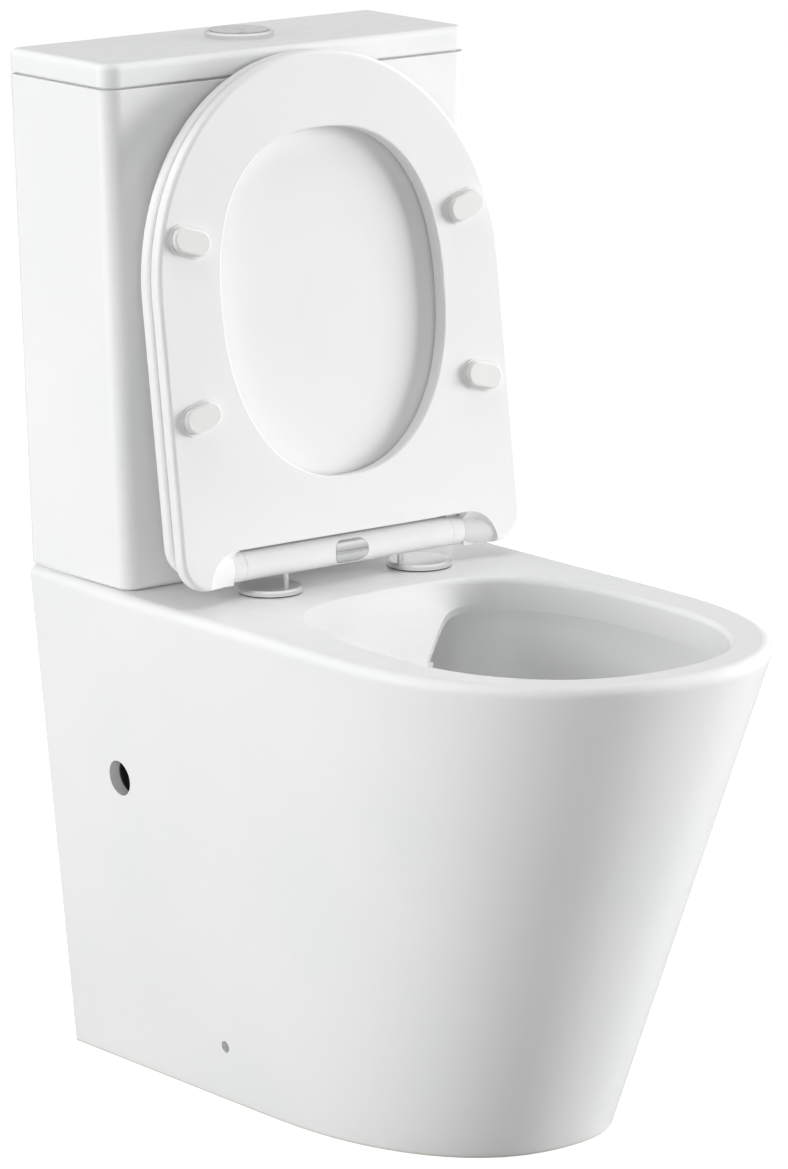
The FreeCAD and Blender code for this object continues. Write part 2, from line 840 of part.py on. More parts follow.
def cistern():
    """The tank: tapered outside, hollow, with holes in its floor for flush valve, inlet and bolts."""
    outside = rounded(tank_corners(tapered_box("0", "cistern_height"), "0"), [
        (size("cistern_base_radius"), level_edge(0)),
        (size("cistern_rim_radius"), level_edge(size("cistern_height"))),
    ])
    inside = move(group([tank_corners(tapered_box("cistern_wall", "cistern_height"), "cistern_wall")]),
                  ("0", "0", "cistern_floor"))
    holes = [
        cylinder("valve_tail_diameter + 6", "cistern_floor", ("0", "-flush_depth", "0")),
        cylinder("fill_tail_diameter + 3", "cistern_floor", ("-fill_offset", "-flush_depth", "0")),
    ]
    for side in SIDES:
        holes.append(cylinder("cistern_bolt_hole", "cistern_floor",
                              (f"{side}cistern_bolt_spacing / 2", "-flush_depth", "0")))
    return cut(outside, inside, *holes)


def cistern_lid():
    """The flat lid with a locating lip inside the tank and a hole for the buttons."""
    middle = "-cistern_top_depth / 2"
    plate = block("cistern_top_width", "cistern_top_depth", "cistern_lid_thickness - lid_shadow_gap",
                  ("0", middle, "lid_shadow_gap"))
    slab = rounded(tank_corners(plate, "0"), [
        (size("cistern_rim_radius"), level_edge(size("lid_shadow_gap"))),
        (size("cistern_lid_edge_radius"), level_edge(size("cistern_lid_thickness"))),
    ])
    foot = tank_corners(
        block("cistern_top_width - 2 * lid_shadow_width", "cistern_top_depth - 2 * lid_shadow_width",
              "lid_lip_height", ("0", middle, "0")), "lid_shadow_width")
    inset = "(cistern_wall + lid_lip_clearance)"
    lip = tank_corners(
        block(f"cistern_top_width - 2 * {inset}", f"cistern_top_depth - 2 * {inset}", "lid_lip_height + 1",
              ("0", middle, "-lid_lip_height")), inset)
    inner = f"({inset} + lid_lip_width)"
    clear = block(f"cistern_top_width - 2 * {inner}", f"cistern_top_depth - 2 * {inner}", "lid_lip_height",
                  ("0", middle, "-lid_lip_height"))
    return cut(fuse(slab, foot, cut(lip, clear)),
               cylinder("button_hole_diameter", "cistern_lid_thickness", ("0", "-flush_depth", "0")))


piece(cistern(), "cistern", ("0", "0", "pan_height"))
piece(cistern_lid(), "cistern_lid", ("0", "0", LID_BASE))

# Flush buttons in the cistern lid
FLUSH = ("0", "-flush_depth")
SHANK = "(button_hole_diameter / 2 - housing_clearance)"
INSIDE = "(button_hole_diameter / 2 - housing_clearance - housing_wall)"
STEM_LENGTH = "(housing_length + 2 * button_thickness + button_rise - button_thickness)"


def button_housing():
    """Bezel and threaded cup, with a hole in its floor for each stem."""
    top = "housing_length + bezel_height"
    cup = turned([
        ("0", "0"),
        (SHANK, "0"),
        (SHANK, "housing_length"),
        ("bezel_diameter / 2", "housing_length"),
        ("bezel_diameter / 2", f"{top} - bezel_chamfer"),
        ("bezel_diameter / 2 - bezel_chamfer", top),
        (INSIDE, top),
        (INSIDE, "housing_floor"),
        ("0", "housing_floor"),
    ])
    hole = "stem_diameter + 2 * stem_clearance"
    return cut(
        cup,
        cylinder(hole, "housing_floor", ("rod_side", "rod_front", "0")),
        cylinder(hole, "housing_floor", ("-rod_side", "-rod_front", "0")),
    )


def flush_button(half):
    """One half of the split button with its stem, which has a socket for the push rod."""
    plate = cylinder(f"2 * ({INSIDE} - button_gap)", "button_thickness")
    centre = ("-button_split_offset", "0", "0")
    if half:
        top = common(plate, cylinder("2 * button_split_radius - button_gap", "button_thickness", centre))
        x, y = "-rod_side", "-rod_front"
    else:
        top = cut(plate, cylinder("2 * button_split_radius + button_gap", "button_thickness", centre))
        x, y = "rod_side", "rod_front"
    stem = cylinder("stem_diameter", f"{STEM_LENGTH} + 1", (x, y, f"-{STEM_LENGTH}"))
    socket = cylinder("rod_diameter + 2 * thread_clearance", "rod_socket_depth", (x, y, f"-{STEM_LENGTH}"))
    return cut(fuse(top, stem), socket)


BUTTON_BASE = f"{LID_TOP} + button_rise - button_thickness"
piece(button_housing(), "button_housing", (*FLUSH, f"{LID_TOP} - housing_length"))
piece(
    cut(hexagon("button_nut_diameter", "button_nut_thickness"),
        cylinder(f"2 * ({SHANK} + thread_clearance)", "button_nut_thickness")),
    "button_lock_nut", (*FLUSH, f"{LID_BASE} - button_nut_thickness"))
piece(flush_button(False), "full_flush_button", (*FLUSH, BUTTON_BASE))
piece(flush_button(True), "half_flush_button", (*FLUSH, BUTTON_BASE))

# Flush valve in the cistern floor
VALVE_BASE = f"{FLOOR} + valve_washer_thickness + valve_flange_thickness"
TOWER_TOP = f"{VALVE_BASE} + tower_height"
ROCKER_TOP = "rocker_lift + rocker_thickness / 2 + rocker_gap"
ROD_TIP = f"({TOWER_TOP} + {ROCKER_TOP})"
ROD_END = f"({BUTTON_BASE} - {STEM_LENGTH} + rod_socket_depth)"
OUTER_END = "(rocker_pivot_side + rocker_arm)"
PIVOT_BORE = "pivot_pin_diameter + 2 * pivot_clearance"


def valve_base():
    """Threaded tail, flange and raised seat of the flush valve."""
    bore = "valve_bore / 2"
    flange_top = "valve_tail_length + valve_flange_thickness"
    return turned([
        (bore, "0"),
        ("valve_tail_diameter / 2", "0"),
        ("valve_tail_diameter / 2", "valve_tail_length"),
        ("valve_flange_diameter / 2", "valve_tail_length"),
        ("valve_flange_diameter / 2", flange_top),
        ("valve_lip_diameter / 2", flange_top),
        ("valve_lip_diameter / 2", f"{flange_top} + valve_lip_height"),
        (bore, f"{flange_top} + valve_lip_height"),
    ])


def valve_tower():
    """The cage round the overflow tube, with water windows and lugs for the rockers on top."""
    inner = "tower_diameter / 2 - tower_wall"
    neck = "overflow_diameter / 2 + overflow_clearance"
    cage = turned([
        (inner, "0"),
        ("tower_diameter / 2", "0"),
        ("tower_diameter / 2", "tower_height"),
        (neck, "tower_height"),
        (neck, "tower_height - tower_cap_thickness"),
        (inner, "tower_height - tower_cap_thickness"),
    ])
    lugs = []
    sill = ("0", "0", "tower_window_lift")
    holes = [
        block("tower_diameter", "tower_window_width", "tower_window_height", sill),
        block("tower_window_width", "tower_diameter", "tower_window_height", sill),
    ]
    reach = "(rocker_width / 2 + lug_gap + lug_thickness)"
    height = "(rocker_lift + pivot_pin_diameter / 2 + 1.2)"
    for side in SIDES:
        pivot = f"{side}rocker_pivot_side"
        for face in SIDES:
            y = f"{side}rod_front + {face}({reach} - lug_thickness / 2)"
            lugs.append(block("7", "lug_thickness", f"{height} + 1", (pivot, y, "tower_height - 1")))
        holes.append(cylinder("pivot_pin_diameter", f"2 * {reach}",
                              (pivot, f"{side}rod_front - {reach}", "tower_height + rocker_lift"), "y"))
    return cut(fuse(cage, *lugs), *holes)


def overflow_tube():
    """The lifting tube with its seal plate at the foot and a yoke over the full-flush rocker."""
    inner = "overflow_diameter / 2 - overflow_wall"
    outer = "overflow_diameter / 2"
    plate_top = "seal_thickness + seal_plate_thickness"
    foot = "(valve_lip_height + seal_gap)"
    height = f"tower_height + overflow_rise - {foot}"
    stem = turned([
        (inner, "0"),
        (outer, "0"),
        (outer, "seal_thickness"),
        ("seal_diameter / 2", "seal_thickness"),
        ("seal_diameter / 2", plate_top),
        (outer, plate_top),
        (outer, height),
        (inner, height),
    ])
    level = f"tower_height + {ROCKER_TOP} - {foot}"
    start = f"({inner} + 1)"
    end = f"({OUTER_END} + yoke_width / 2)"
    arm = block(f"{end} - {start}", "yoke_width", "yoke_thickness", (f"({end} + {start}) / 2", "0", level))
    tab = block("yoke_width", "rod_front + yoke_width", "yoke_thickness",
                (OUTER_END, "rod_front / 2", level))
    return fuse(stem, arm, tab)


def half_float():
    """The ring float round the tower, with a lift rod that hooks over the half-flush rocker."""
    side = f"-({OUTER_END} + yoke_width / 2 + link_rod_diameter / 2)"
    top = "tower_height - half_float_lift"
    level = f"{top} + {ROCKER_TOP}"
    ring = tube("half_float_diameter", "tower_diameter + 2 * overflow_clearance", "half_float_height")
    rod = cylinder("link_rod_diameter", f"{level} - half_float_height + 2",
                   (side, "-rod_front", "half_float_height - 1"))
    tab = block("1.5 * yoke_width", "yoke_width", "yoke_thickness",
                (f"-({OUTER_END} + yoke_width / 4)", "-rod_front", level))
    return fuse(ring, rod, tab)


def rocker():
    """A short see-saw bar on its pivot."""
    length = "2 * (rocker_arm + rocker_end)"
    return cut(
        block(length, "rocker_width", "rocker_thickness", ("0", "0", "-rocker_thickness / 2")),
        cylinder(PIVOT_BORE, "rocker_width", ("0", "-rocker_width / 2", "0"), "y"),
    )


def push_rod():
    """A rod with a blunt point, which stands on its point."""
    tip = "4"
    return fuse(
        cone("rod_diameter / 3", "rod_diameter", tip),
        cylinder("rod_diameter", f"{ROD_END} - {ROD_TIP} - {tip}", ("0", "0", tip)),
    )


def pivot_pins():
    """One pin for each rocker."""
    length = "2 * (rocker_width / 2 + lug_gap + lug_thickness)"
    return group(
        cylinder("pivot_pin_diameter", length,
                 (f"{side}rocker_pivot_side", f"{side}rod_front - ({length}) / 2", "0"), "y")
        for side in SIDES
    )


piece(valve_base(), "flush_valve_base", (*FLUSH, f"{FLOOR} + valve_washer_thickness - valve_tail_length"))
piece(tube("valve_flange_diameter - 2", around("valve_tail_diameter"), "valve_washer_thickness"),
      "flush_valve_washer", (*FLUSH, FLOOR))
piece(
    cut(hexagon("valve_nut_diameter", "valve_nut_thickness"),
        cylinder(around("valve_tail_diameter"), "valve_nut_thickness")),
    "flush_valve_nut", (*FLUSH, "pan_height - valve_nut_thickness"))
piece(tube("inlet_cup_bore - 1", "valve_tail_diameter + 1", "gasket_height"),
      "cistern_gasket", (*FLUSH, "pan_height - valve_nut_thickness - gasket_height"))
piece(valve_tower(), "flush_valve_tower", (*FLUSH, VALVE_BASE))
SEAL_BASE = f"{VALVE_BASE} + valve_lip_height + seal_gap"
piece(overflow_tube(), "overflow_tube", (*FLUSH, SEAL_BASE))
piece(tube("seal_diameter", around("overflow_diameter"), "seal_thickness"),
      "flush_seal", (*FLUSH, SEAL_BASE))
piece(half_float(), "half_flush_float", (*FLUSH, f"{VALVE_BASE} + half_float_lift"))
PIVOT = f"{TOWER_TOP} + rocker_lift"
SPRING_LENGTH = "housing_length - housing_floor + button_rise - button_thickness"
piece(pivot_pins(), "rocker_pins", (*FLUSH, PIVOT))
for side, which in (("", "full"), ("-", "half")):
    front = f"-flush_depth + {side}rod_front"
    piece(rocker(), f"{which}_flush_rocker", (f"{side}rocker_pivot_side", front, PIVOT))
    piece(push_rod(), f"{which}_flush_rod", (f"{side}rod_side", front, ROD_TIP))
    coil = tube("spring_diameter", "spring_diameter - 2 * spring_wire", SPRING_LENGTH)
    piece(coil, f"{which}_button_spring",
          (f"{side}rod_side", front, f"{LID_TOP} - housing_length + housing_floor"))

# Fill valve
FILL = ("-fill_offset", "-flush_depth")
FLANGE_BASE = "fill_tail_length + fill_washer_thickness"
FLANGE_TOP = f"{FLANGE_BASE} + fill_flange_thickness"
BODY_TOP = f"{FLANGE_TOP} + fill_body_height"
RISER_TOP = f"{BODY_TOP} + fill_riser_height"
HEAD_SOCKET = "fill_head_height / 2"
LEVER_LEVEL = "fill_head_height + lever_lift"


def fill_body():
    """Water inlet with a thread for the supply and one for the nut, flange, body and riser."""
    bore = "fill_bore / 2"
    thread = "fill_tail_diameter / 2"
    neck = "fill_tail_diameter / 2 - fill_neck_depth"
    neck_end = "fill_tail_free_length + fill_neck_length"
    return turned([
        (bore, "0"),
        (thread, "0"),
        (thread, "fill_tail_free_length"),
        (neck, "fill_tail_free_length"),
        (neck, neck_end),
        (thread, neck_end),
        (thread, FLANGE_BASE),
        ("fill_flange_diameter / 2", FLANGE_BASE),
        ("fill_flange_diameter / 2", FLANGE_TOP),
        ("fill_body_diameter / 2", FLANGE_TOP),
        ("fill_body_diameter / 2", BODY_TOP),
        ("fill_riser_diameter / 2", BODY_TOP),
        ("fill_riser_diameter / 2", RISER_TOP),
        (bore, RISER_TOP),
    ])


def fill_head():
    """The cap on the riser, with a fork for the lever's pivot."""
    socket = "fill_riser_diameter / 2 + thread_clearance"
    cap = turned([
        (socket, "0"),
        ("fill_head_diameter / 2", "0"),
        ("fill_head_diameter / 2", "fill_head_height"),
        ("0", "fill_head_height"),
        ("0", HEAD_SOCKET),
        (socket, HEAD_SOCKET),
    ])
    reach = "(lever_width / 2 + lug_gap + lug_thickness)"
    height = "(lever_lift + pivot_pin_diameter)"
    cheeks = [
        block("8", "lug_thickness", f"{height} + 1",
              ("-lever_pivot_side", f"{face}({reach} - lug_thickness / 2)", "fill_head_height - 1"))
        for face in SIDES
    ]
    hole = cylinder("pivot_pin_diameter", f"2 * {reach}",
                    ("-lever_pivot_side", f"-{reach}", LEVER_LEVEL), "y")
    return cut(fuse(cap, *cheeks), hole)


def fill_float():
    """The float cup round the riser with its link rod."""
    rise = f"(fill_body_height + fill_riser_height - {HEAD_SOCKET} + {LEVER_LEVEL} - fill_float_lift)"
    cup = tube("fill_float_diameter", "fill_riser_diameter + 2 * fill_float_clearance", "fill_float_height")
    rod = cylinder("link_rod_diameter", f"{rise} + 12 - fill_float_height",
                   ("link_rod_side", "0", "fill_float_height - 1"))
    return fuse(cup, rod)


def fill_lever():
    """The lever from its pivot to the slot round the link rod."""
    far = "(link_rod_side + lever_pivot_side)"
    return cut(
        block(f"{far} + lever_overhang + 4", "lever_width", "lever_thickness",
              (f"({far} + lever_overhang - 4) / 2", "0", "-lever_thickness / 2")),
        block("lever_slot_length", "lever_slot_width", "lever_thickness",
              (far, "0", "-lever_thickness / 2")),
        cylinder(PIVOT_BORE, "lever_width", ("0", "-lever_width / 2", "0"), "y"),
    )


FILL_BASE = f"{FLOOR} - fill_tail_length"
HEAD_BASE = f"{FILL_BASE} + {RISER_TOP} - {HEAD_SOCKET}"
LEVER_SIDE = "-fill_offset - lever_pivot_side"
LEVER_REACH = "(lever_width / 2 + lug_gap + lug_thickness)"
piece(fill_body(), "fill_valve_body", (*FILL, FILL_BASE))
piece(tube("fill_flange_diameter - 2", around("fill_tail_diameter"), "fill_washer_thickness"),
      "fill_valve_washer", (*FILL, FLOOR))
piece(
    cut(hexagon("fill_nut_diameter", "fill_nut_thickness"),
        cylinder(around("fill_tail_diameter"), "fill_nut_thickness")),
    "fill_valve_nut", (*FILL, "pan_height - fill_nut_thickness"))
piece(fill_head(), "fill_valve_head", (*FILL, HEAD_BASE))
piece(fill_float(), "fill_float", (*FILL, f"{FILL_BASE} + {FLANGE_TOP} + fill_float_lift"))
piece(fill_lever(), "fill_lever", (LEVER_SIDE, "-flush_depth", f"{HEAD_BASE} + {LEVER_LEVEL}"))
piece(cylinder("pivot_pin_diameter", f"2 * {LEVER_REACH}"), "fill_lever_pin",
      (LEVER_SIDE, f"-flush_depth - {LEVER_REACH}", f"{HEAD_BASE} + {LEVER_LEVEL}"), "y")


# Bolts that hold the cistern to the pan


def pair(make, spacing):
    """Two alike, one on each side of the middle."""
    return group(move(group([make()]), (f"{side}{spacing} / 2", "0", "0")) for side in SIDES)


def cistern_bolt():
    """A hexagon-headed bolt that stands on the end of its shank."""
    return fuse(
        cylinder("cistern_bolt_diameter", "cistern_bolt_length"),
        hexagon("bolt_head_size", "bolt_head_height", ("0", "0", "cistern_bolt_length")),
    )


def wing_nut():
    """A round nut with two wings."""
    barrel = cylinder("wing_nut_diameter", "wing_nut_height")
    wings = block("wing_thickness", "wing_nut_span", "wing_nut_height * 2 / 3")
    return cut(fuse(barrel, wings),
               cylinder(around("cistern_bolt_diameter"), "wing_nut_height"))


LOOSE_BOLT = "cistern_bolt_diameter + 4 * thread_clearance"
UNDER_SHELF = "pan_height - shelf_thickness"
piece(pair(cistern_bolt, "cistern_bolt_spacing"), "cistern_bolts",
      (*FLUSH, f"{FLOOR} + bolt_washer_thickness - cistern_bolt_length"))
for kind, level in (("bolt", FLOOR), ("plate", f"{UNDER_SHELF} - plate_washer_thickness")):
    washer = (f"{kind}_washer_diameter", LOOSE_BOLT, f"{kind}_washer_thickness")
    piece(pair(lambda: tube(*washer), "cistern_bolt_spacing"), f"cistern_{kind}_washers", (*FLUSH, level))
piece(pair(wing_nut, "cistern_bolt_spacing"), "cistern_wing_nuts",
      (*FLUSH, f"{UNDER_SHELF} - plate_washer_thickness - wing_nut_height"))

# Seat fixings on the pan
DISC_BASE = "pan_height + disc_washer_thickness"
DISC_TOP = f"{DISC_BASE} + disc_thickness"
LOOSE_STUD = "stud_diameter + 4 * thread_clearance"
STUD_HOLD = "(disc_thickness - disc_chamfer)"


def hinge_disc():
    """A chamfered disc with a blind hole for the stud."""
    bevel = cone("disc_diameter", "disc_diameter - 2 * disc_chamfer", "disc_chamfer", ("0", "0", STUD_HOLD))
    return cut(fuse(cylinder("disc_diameter", STUD_HOLD), bevel),
               cylinder("stud_diameter + thread_clearance", STUD_HOLD))


def stud_nut():
    """A hexagon nut on a stud."""
    return cut(hexagon("stud_nut_size * 1.1547", "stud_nut_thickness"),
               cylinder(around("stud_diameter"), "stud_nut_thickness"))


HINGE_FIX = ("0", "-hinge_fix_depth")
piece(pair(lambda: tube("disc_diameter - 2", LOOSE_STUD, "disc_washer_thickness"), "hinge_spacing"),
      "hinge_washers", (*HINGE_FIX, "pan_height"))
piece(pair(hinge_disc, "hinge_spacing"), "hinge_discs", (*HINGE_FIX, DISC_BASE))
piece(pair(lambda: cylinder("stud_diameter", "stud_length"), "hinge_spacing"),
      "hinge_studs", (*HINGE_FIX, f"{DISC_BASE} + {STUD_HOLD} - stud_length"))
piece(pair(lambda: tube("stud_sleeve_diameter", LOOSE_STUD, "stud_sleeve_length"), "hinge_spacing"),
      "hinge_sleeves", (*HINGE_FIX, "pan_height - stud_sleeve_length"))
piece(pair(stud_nut, "hinge_spacing"),
      "hinge_stud_nuts", (*HINGE_FIX, "pan_height - stud_sleeve_length - stud_nut_thickness"))
piece(pair(lambda: cylinder("post_diameter", "post_height"), "(hinge_spacing - 2 * post_inset)"),
      "hinge_posts", ("0", "-hinge_axis_depth", DISC_TOP))

# Hinge bar with dampers and release button, about the hinge axis
HINGE = ("0", "-hinge_axis_depth", "pan_height + hinge_axis_height")
BAR_END = "hinge_bar_length / 2"
BAR_RADIUS = "hinge_bar_diameter / 2"
DAMPER_START = f"{BAR_END} - damper_length"
PIN_BORE = "hinge_pin_diameter + 2 * hinge_pin_clearance"
EAR_START = f"({BAR_END} + hinge_side_gap)"
EAR_END = f"({EAR_START} + hinge_ear_width)"
CHEEK_START = f"({EAR_END} + hinge_side_gap)"
CHEEK_END = f"({CHEEK_START} + cheek_length)"
PIN_END = f"({CHEEK_END} - 1.5)"
POST_END = "(disc_washer_thickness + disc_thickness + post_height - hinge_axis_height)"
RELEASE_FRONT = f"-{BAR_RADIUS}"
RELEASE_BACK = f"(release_depth - {BAR_RADIUS})"


def across(diameter, near, far, side):
    """A round bar along the hinge axis between two distances from the middle, on one side."""
    start = near if side == "" else f"-({far})"
    return cylinder(diameter, f"({far}) - ({near})", (start, "0", "0"), "x")


def pill(across_x, deep, tall, radius, y, z="0"):
    """A block with rounded corners seen from the front, starting at a depth and centred in height."""
    box = block(across_x, deep, tall, ("0", f"{y} + ({deep}) / 2", f"{z} - ({tall}) / 2"))
    return rounded(box, [(radius, lambda edge: edge.BoundBox.YLength > 0.1)])


def hinge_bar():
    """The round bar: bored for dampers and posts, with a pocket for the release button."""
    pocket_depth = "release_depth + release_travel + release_clearance"
    tools = [
        pill("release_width", pocket_depth, "release_height", size("release_corner_radius"), RELEASE_FRONT),
        cylinder("release_spring_diameter + 2 * release_clearance", "release_spring_length",
                 ("0", RELEASE_BACK, "0"), "y"),
    ]
    for side in SIDES:
        tools.append(across("damper_diameter + 2 * hinge_pin_clearance", DAMPER_START, BAR_END, side))
        tools.append(cylinder("post_diameter + 2 * post_clearance", f"{BAR_RADIUS} + {POST_END}",
                              (f"{side}(hinge_spacing / 2 - post_inset)", "0", f"-{BAR_RADIUS}")))
    return cut(cylinder("hinge_bar_diameter", "hinge_bar_length", (f"-{BAR_END}", "0", "0"), "x"), *tools)


def release_button():
    """The push button, its front flush with the bar's round face."""
    width = "release_width - 2 * release_clearance"
    height = "release_height - 2 * release_clearance"
    return common(
        pill(width, "release_depth", height, size("release_corner_radius - release_clearance"),
             RELEASE_FRONT),
        cylinder("hinge_bar_diameter", "release_width", ("-release_width / 2", "0", "0"), "x"),
    )


def damper(side):
    """A soft-close cartridge with the hinge pin on its end."""
    return fuse(across("damper_diameter", DAMPER_START, BAR_END, side),
                across("hinge_pin_diameter", f"{BAR_END} - 1", PIN_END, side))


piece(hinge_bar(), "hinge_bar", HINGE)
piece(release_button(), "hinge_release_button", HINGE)
piece(
    tube("release_spring_diameter", "release_spring_diameter - 2 * spring_wire", "release_spring_length"),
    "release_spring", ("0", f"-hinge_axis_depth + {RELEASE_BACK}", HINGE[2]), "y")
piece(damper("-"), "left_hinge_damper", HINGE)
piece(damper(""), "right_hinge_damper", HINGE)

# Seat and lid: built about the hinge axis, standing up, then leaned back


def bar_solid(diameter, near, far, side):
    """A round solid along the hinge axis between two distances from the middle."""
    length = size(far) - size(near)
    start = Vector(size(near) if side > 0 else -size(far), 0, 0)
    return Part.makeCylinder(size(diameter) / 2, length, start, Vector(1, 0, 0))


def rounded_plate(outline, thickness, radius):
    """A plate drawn back from its outline, with its outer edges rounded on both faces."""
    plate = Part.Face(outline).extrude(Vector(0, thickness, 0))
    rims = [edge for edge in plate.Edges if edge.BoundBox.YLength < 0.01]
    return plate.makeFillet(radius, rims)


def cheek_scoop(side):
    """What is taken off the underside beside the notch, to leave a nose that runs on from the bar."""
    start = size(CHEEK_START)
    face = size("seat_face_offset")
    corner = size("seat_notch_height + seat_rear_reach")
    depth = size("cheek_scoop_depth")
    slope = size("cheek_scoop_slope")
    foot = Vector(side * start, -face, -size("seat_rear_reach"))
    taken = Part.makeCone(corner, corner - slope, depth, foot, Vector(0, 1, 0))

    def section(distance, diameter, front):
        middle = Vector(side * distance, diameter / 2 - front, 0)
        return Part.Wire([Part.Circle(middle, Vector(1, 0, 0), diameter / 2).toShape()])

    bar = size("hinge_bar_diameter")
    end = start + size("cheek_nose_length")
    nose = Part.makeLoft([
        section(start - 1, bar, bar / 2),
        section(start, bar, bar / 2),
        section(end, size("cheek_nose_diameter"), face - size("cheek_nose_drop")),
    ], True, True)
    return taken.cut(nose)


def seat_shape():
    """The seat ring: dished towards its opening underneath, with two round cheeks on the hinge pins."""
    under = -size("seat_face_offset")
    thickness = size("seat_thickness")
    outline = seat_outline(size("seat_width"), -size("seat_rear_reach"), size("seat_straight_reach"),
                           size("seat_front_reach"), size("seat_corner_radius"), under)
    plate = rounded_plate(outline, thickness, size("seat_edge_radius"))
    hole = Part.Face(hole_outline(0, under - 1)).extrude(Vector(0, thickness + 2, 0))
    # A shallow channel runs round the opening, with a raised lip at its inner edge.
    lip = size("seat_lip_width")
    slope = size("seat_lip_slope")
    width = size("seat_dish_width")
    depth = size("seat_dish_depth")
    shares = [(step / 5, (1 - math.cos(math.pi * step / 5)) / 2) for step in range(6)]
    bank = Part.makeLoft([hole_outline(lip + slope + width * (1 - along), under + depth * fall)
                          for along, fall in shares], True, False)
    shore = Part.makeLoft([hole_outline(lip + slope * along, under + depth * fall)
                           for along, fall in shares], True, False)
    dish = bank.cut(shore)
    notch_end = size(CHEEK_START)
    rear = size("seat_rear_reach") + 1
    notch = Part.makeBox(2 * notch_end, thickness + 2, size("seat_notch_height") + rear,
                         Vector(-notch_end, under - 1, -rear))
    plate = plate.cut(hole)
    hole_edges = [edge for edge in plate.Edges if edge.isClosed() and edge.BoundBox.YLength < 0.01]
    plate = plate.makeFillet(size("seat_hole_edge_radius"), hole_edges)
    ring = plate.cut([dish, notch])
    for side in (-1, 1):
        cheek = bar_solid("hinge_bar_diameter", CHEEK_START, CHEEK_END, side)
        bore = bar_solid(PIN_BORE, CHEEK_START, f"{PIN_END} + hinge_side_gap", side)
        ring = ring.cut(cheek_scoop(side)).fuse(cheek).cut(bore)
    return ring.removeSplitter()


def seat_lid_shape():
    """The lid: a thin D-shaped plate with two ears beside the hinge bar."""
    front = -size("seat_face_offset - seat_thickness - seat_lid_gap")
    thickness = size("seat_lid_thickness")
    outline = seat_outline(size("seat_width"), -size("seat_lid_rear_reach"), size("seat_straight_reach"),
                           size("seat_front_reach"), size("seat_corner_radius"), front)
    plate = rounded_plate(outline, thickness, size("seat_lid_edge_radius"))
    notch_half = size(f"{CHEEK_END} + hinge_notch_clearance")
    notch_top = size(f"{BAR_RADIUS} + hinge_notch_clearance")
    rear = size("seat_lid_rear_reach") + 1
    plate = plate.cut(Part.makeBox(2 * notch_half, thickness + 2, notch_top + rear,
                                   Vector(-notch_half, front - 1, -rear)))
    for side in (-1, 1):
        ear = bar_solid("hinge_bar_diameter", EAR_START, EAR_END, side)
        width = size("hinge_ear_width")
        near = size(EAR_START) if side > 0 else -size(EAR_END)
        bridge = Part.makeBox(width, thickness, notch_top + 1, Vector(near, front, 0))
        bore = bar_solid(PIN_BORE, EAR_START, EAR_END, side)
        plate = plate.fuse([ear, bridge]).cut(bore)
    return plate.removeSplitter()


def oval(length, width, near, far, x, reach, tilt, edge_radius=0):
    """An oblong pad between two depths, tilted in the seat's plane, its near edge rounded if asked."""
    half = (length - width) / 2
    depth = far - near
    middle = Part.makeBox(2 * half, depth, width, Vector(-half, near, -width / 2))
    backward = Vector(0, 1, 0)
    ends = [Part.makeCylinder(width / 2, depth, Vector(end, near, 0), backward) for end in (-half, half)]
    pad = middle.fuse(ends).removeSplitter()
    if edge_radius:
        pad = pad.makeFillet(edge_radius, [edge for edge in pad.Edges if edge.BoundBox.YMax < near + 0.01])
    pad.rotate(Vector(), Vector(0, 1, 0), tilt)
    pad.translate(Vector(x, 0, reach))
    return pad


def seat_buffers_shape(seat):
    """Four stepped oblong pads whose backs follow the seat's underside."""
    under = -size("seat_face_offset")
    foot = under - size("buffer_height")
    back = under + size("seat_dish_depth")
    pads = []
    for end in ("front", "rear"):
        for side in (-1, 1):
            x = side * size(f"{end}_buffer_side")
            reach = size(f"{end}_buffer_reach")
            tilt = -side * size(f"{end}_buffer_tilt")
            length = size("buffer_length")
            width = size("buffer_width")
            step = size("2 * buffer_step")
            flange = oval(length, width, under - size("buffer_flange"), back, x, reach, tilt)
            pad = oval(length - step, width - step, foot, under, x, reach, tilt, size("buffer_edge_radius"))
            pads += flange.fuse(pad).cut(seat).removeSplitter().Solids
    return Part.makeCompound(pads)


def lid_buffers():
    """Two thin round pads on the lid's front face."""
    thickness = "seat_lid_gap - lid_buffer_gap"
    start = "-(seat_face_offset - seat_thickness) + lid_buffer_gap"
    return group(
        cylinder("lid_buffer_diameter", thickness,
                 (f"{side}lid_buffer_side", start, "lid_buffer_reach"), "y")
        for side in SIDES
    )


seat = seat_shape()
leaning_piece(shaped(seat), "seat_ring")
leaning_piece(shaped(seat_buffers_shape(seat)), "seat_buffers")
leaning_piece(shaped(seat_lid_shape()), "seat_lid")
leaning_piece(lid_buffers(), "lid_buffers")

doc.recompute()
for thing in doc.Objects:
    if "Invalid" in thing.State or "Error" in thing.State:
        raise RuntimeError(f"{thing.Label} was not built: {thing.State}")
for thing in PIECES:
    if thing.Shape.isNull() or not thing.Shape.isValid() or not thing.Shape.Solids:
        raise RuntimeError(f"{thing.Label} is not a sound solid")

os.makedirs("parts", exist_ok=True)
for thing in PIECES:
    thing.Shape.exportStep(f"parts/{thing.Label}.step")
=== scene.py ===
import json
import math

import bpy
from bpy.props import FloatProperty, FloatVectorProperty, IntProperty, PointerProperty
from mathutils import Matrix, Vector


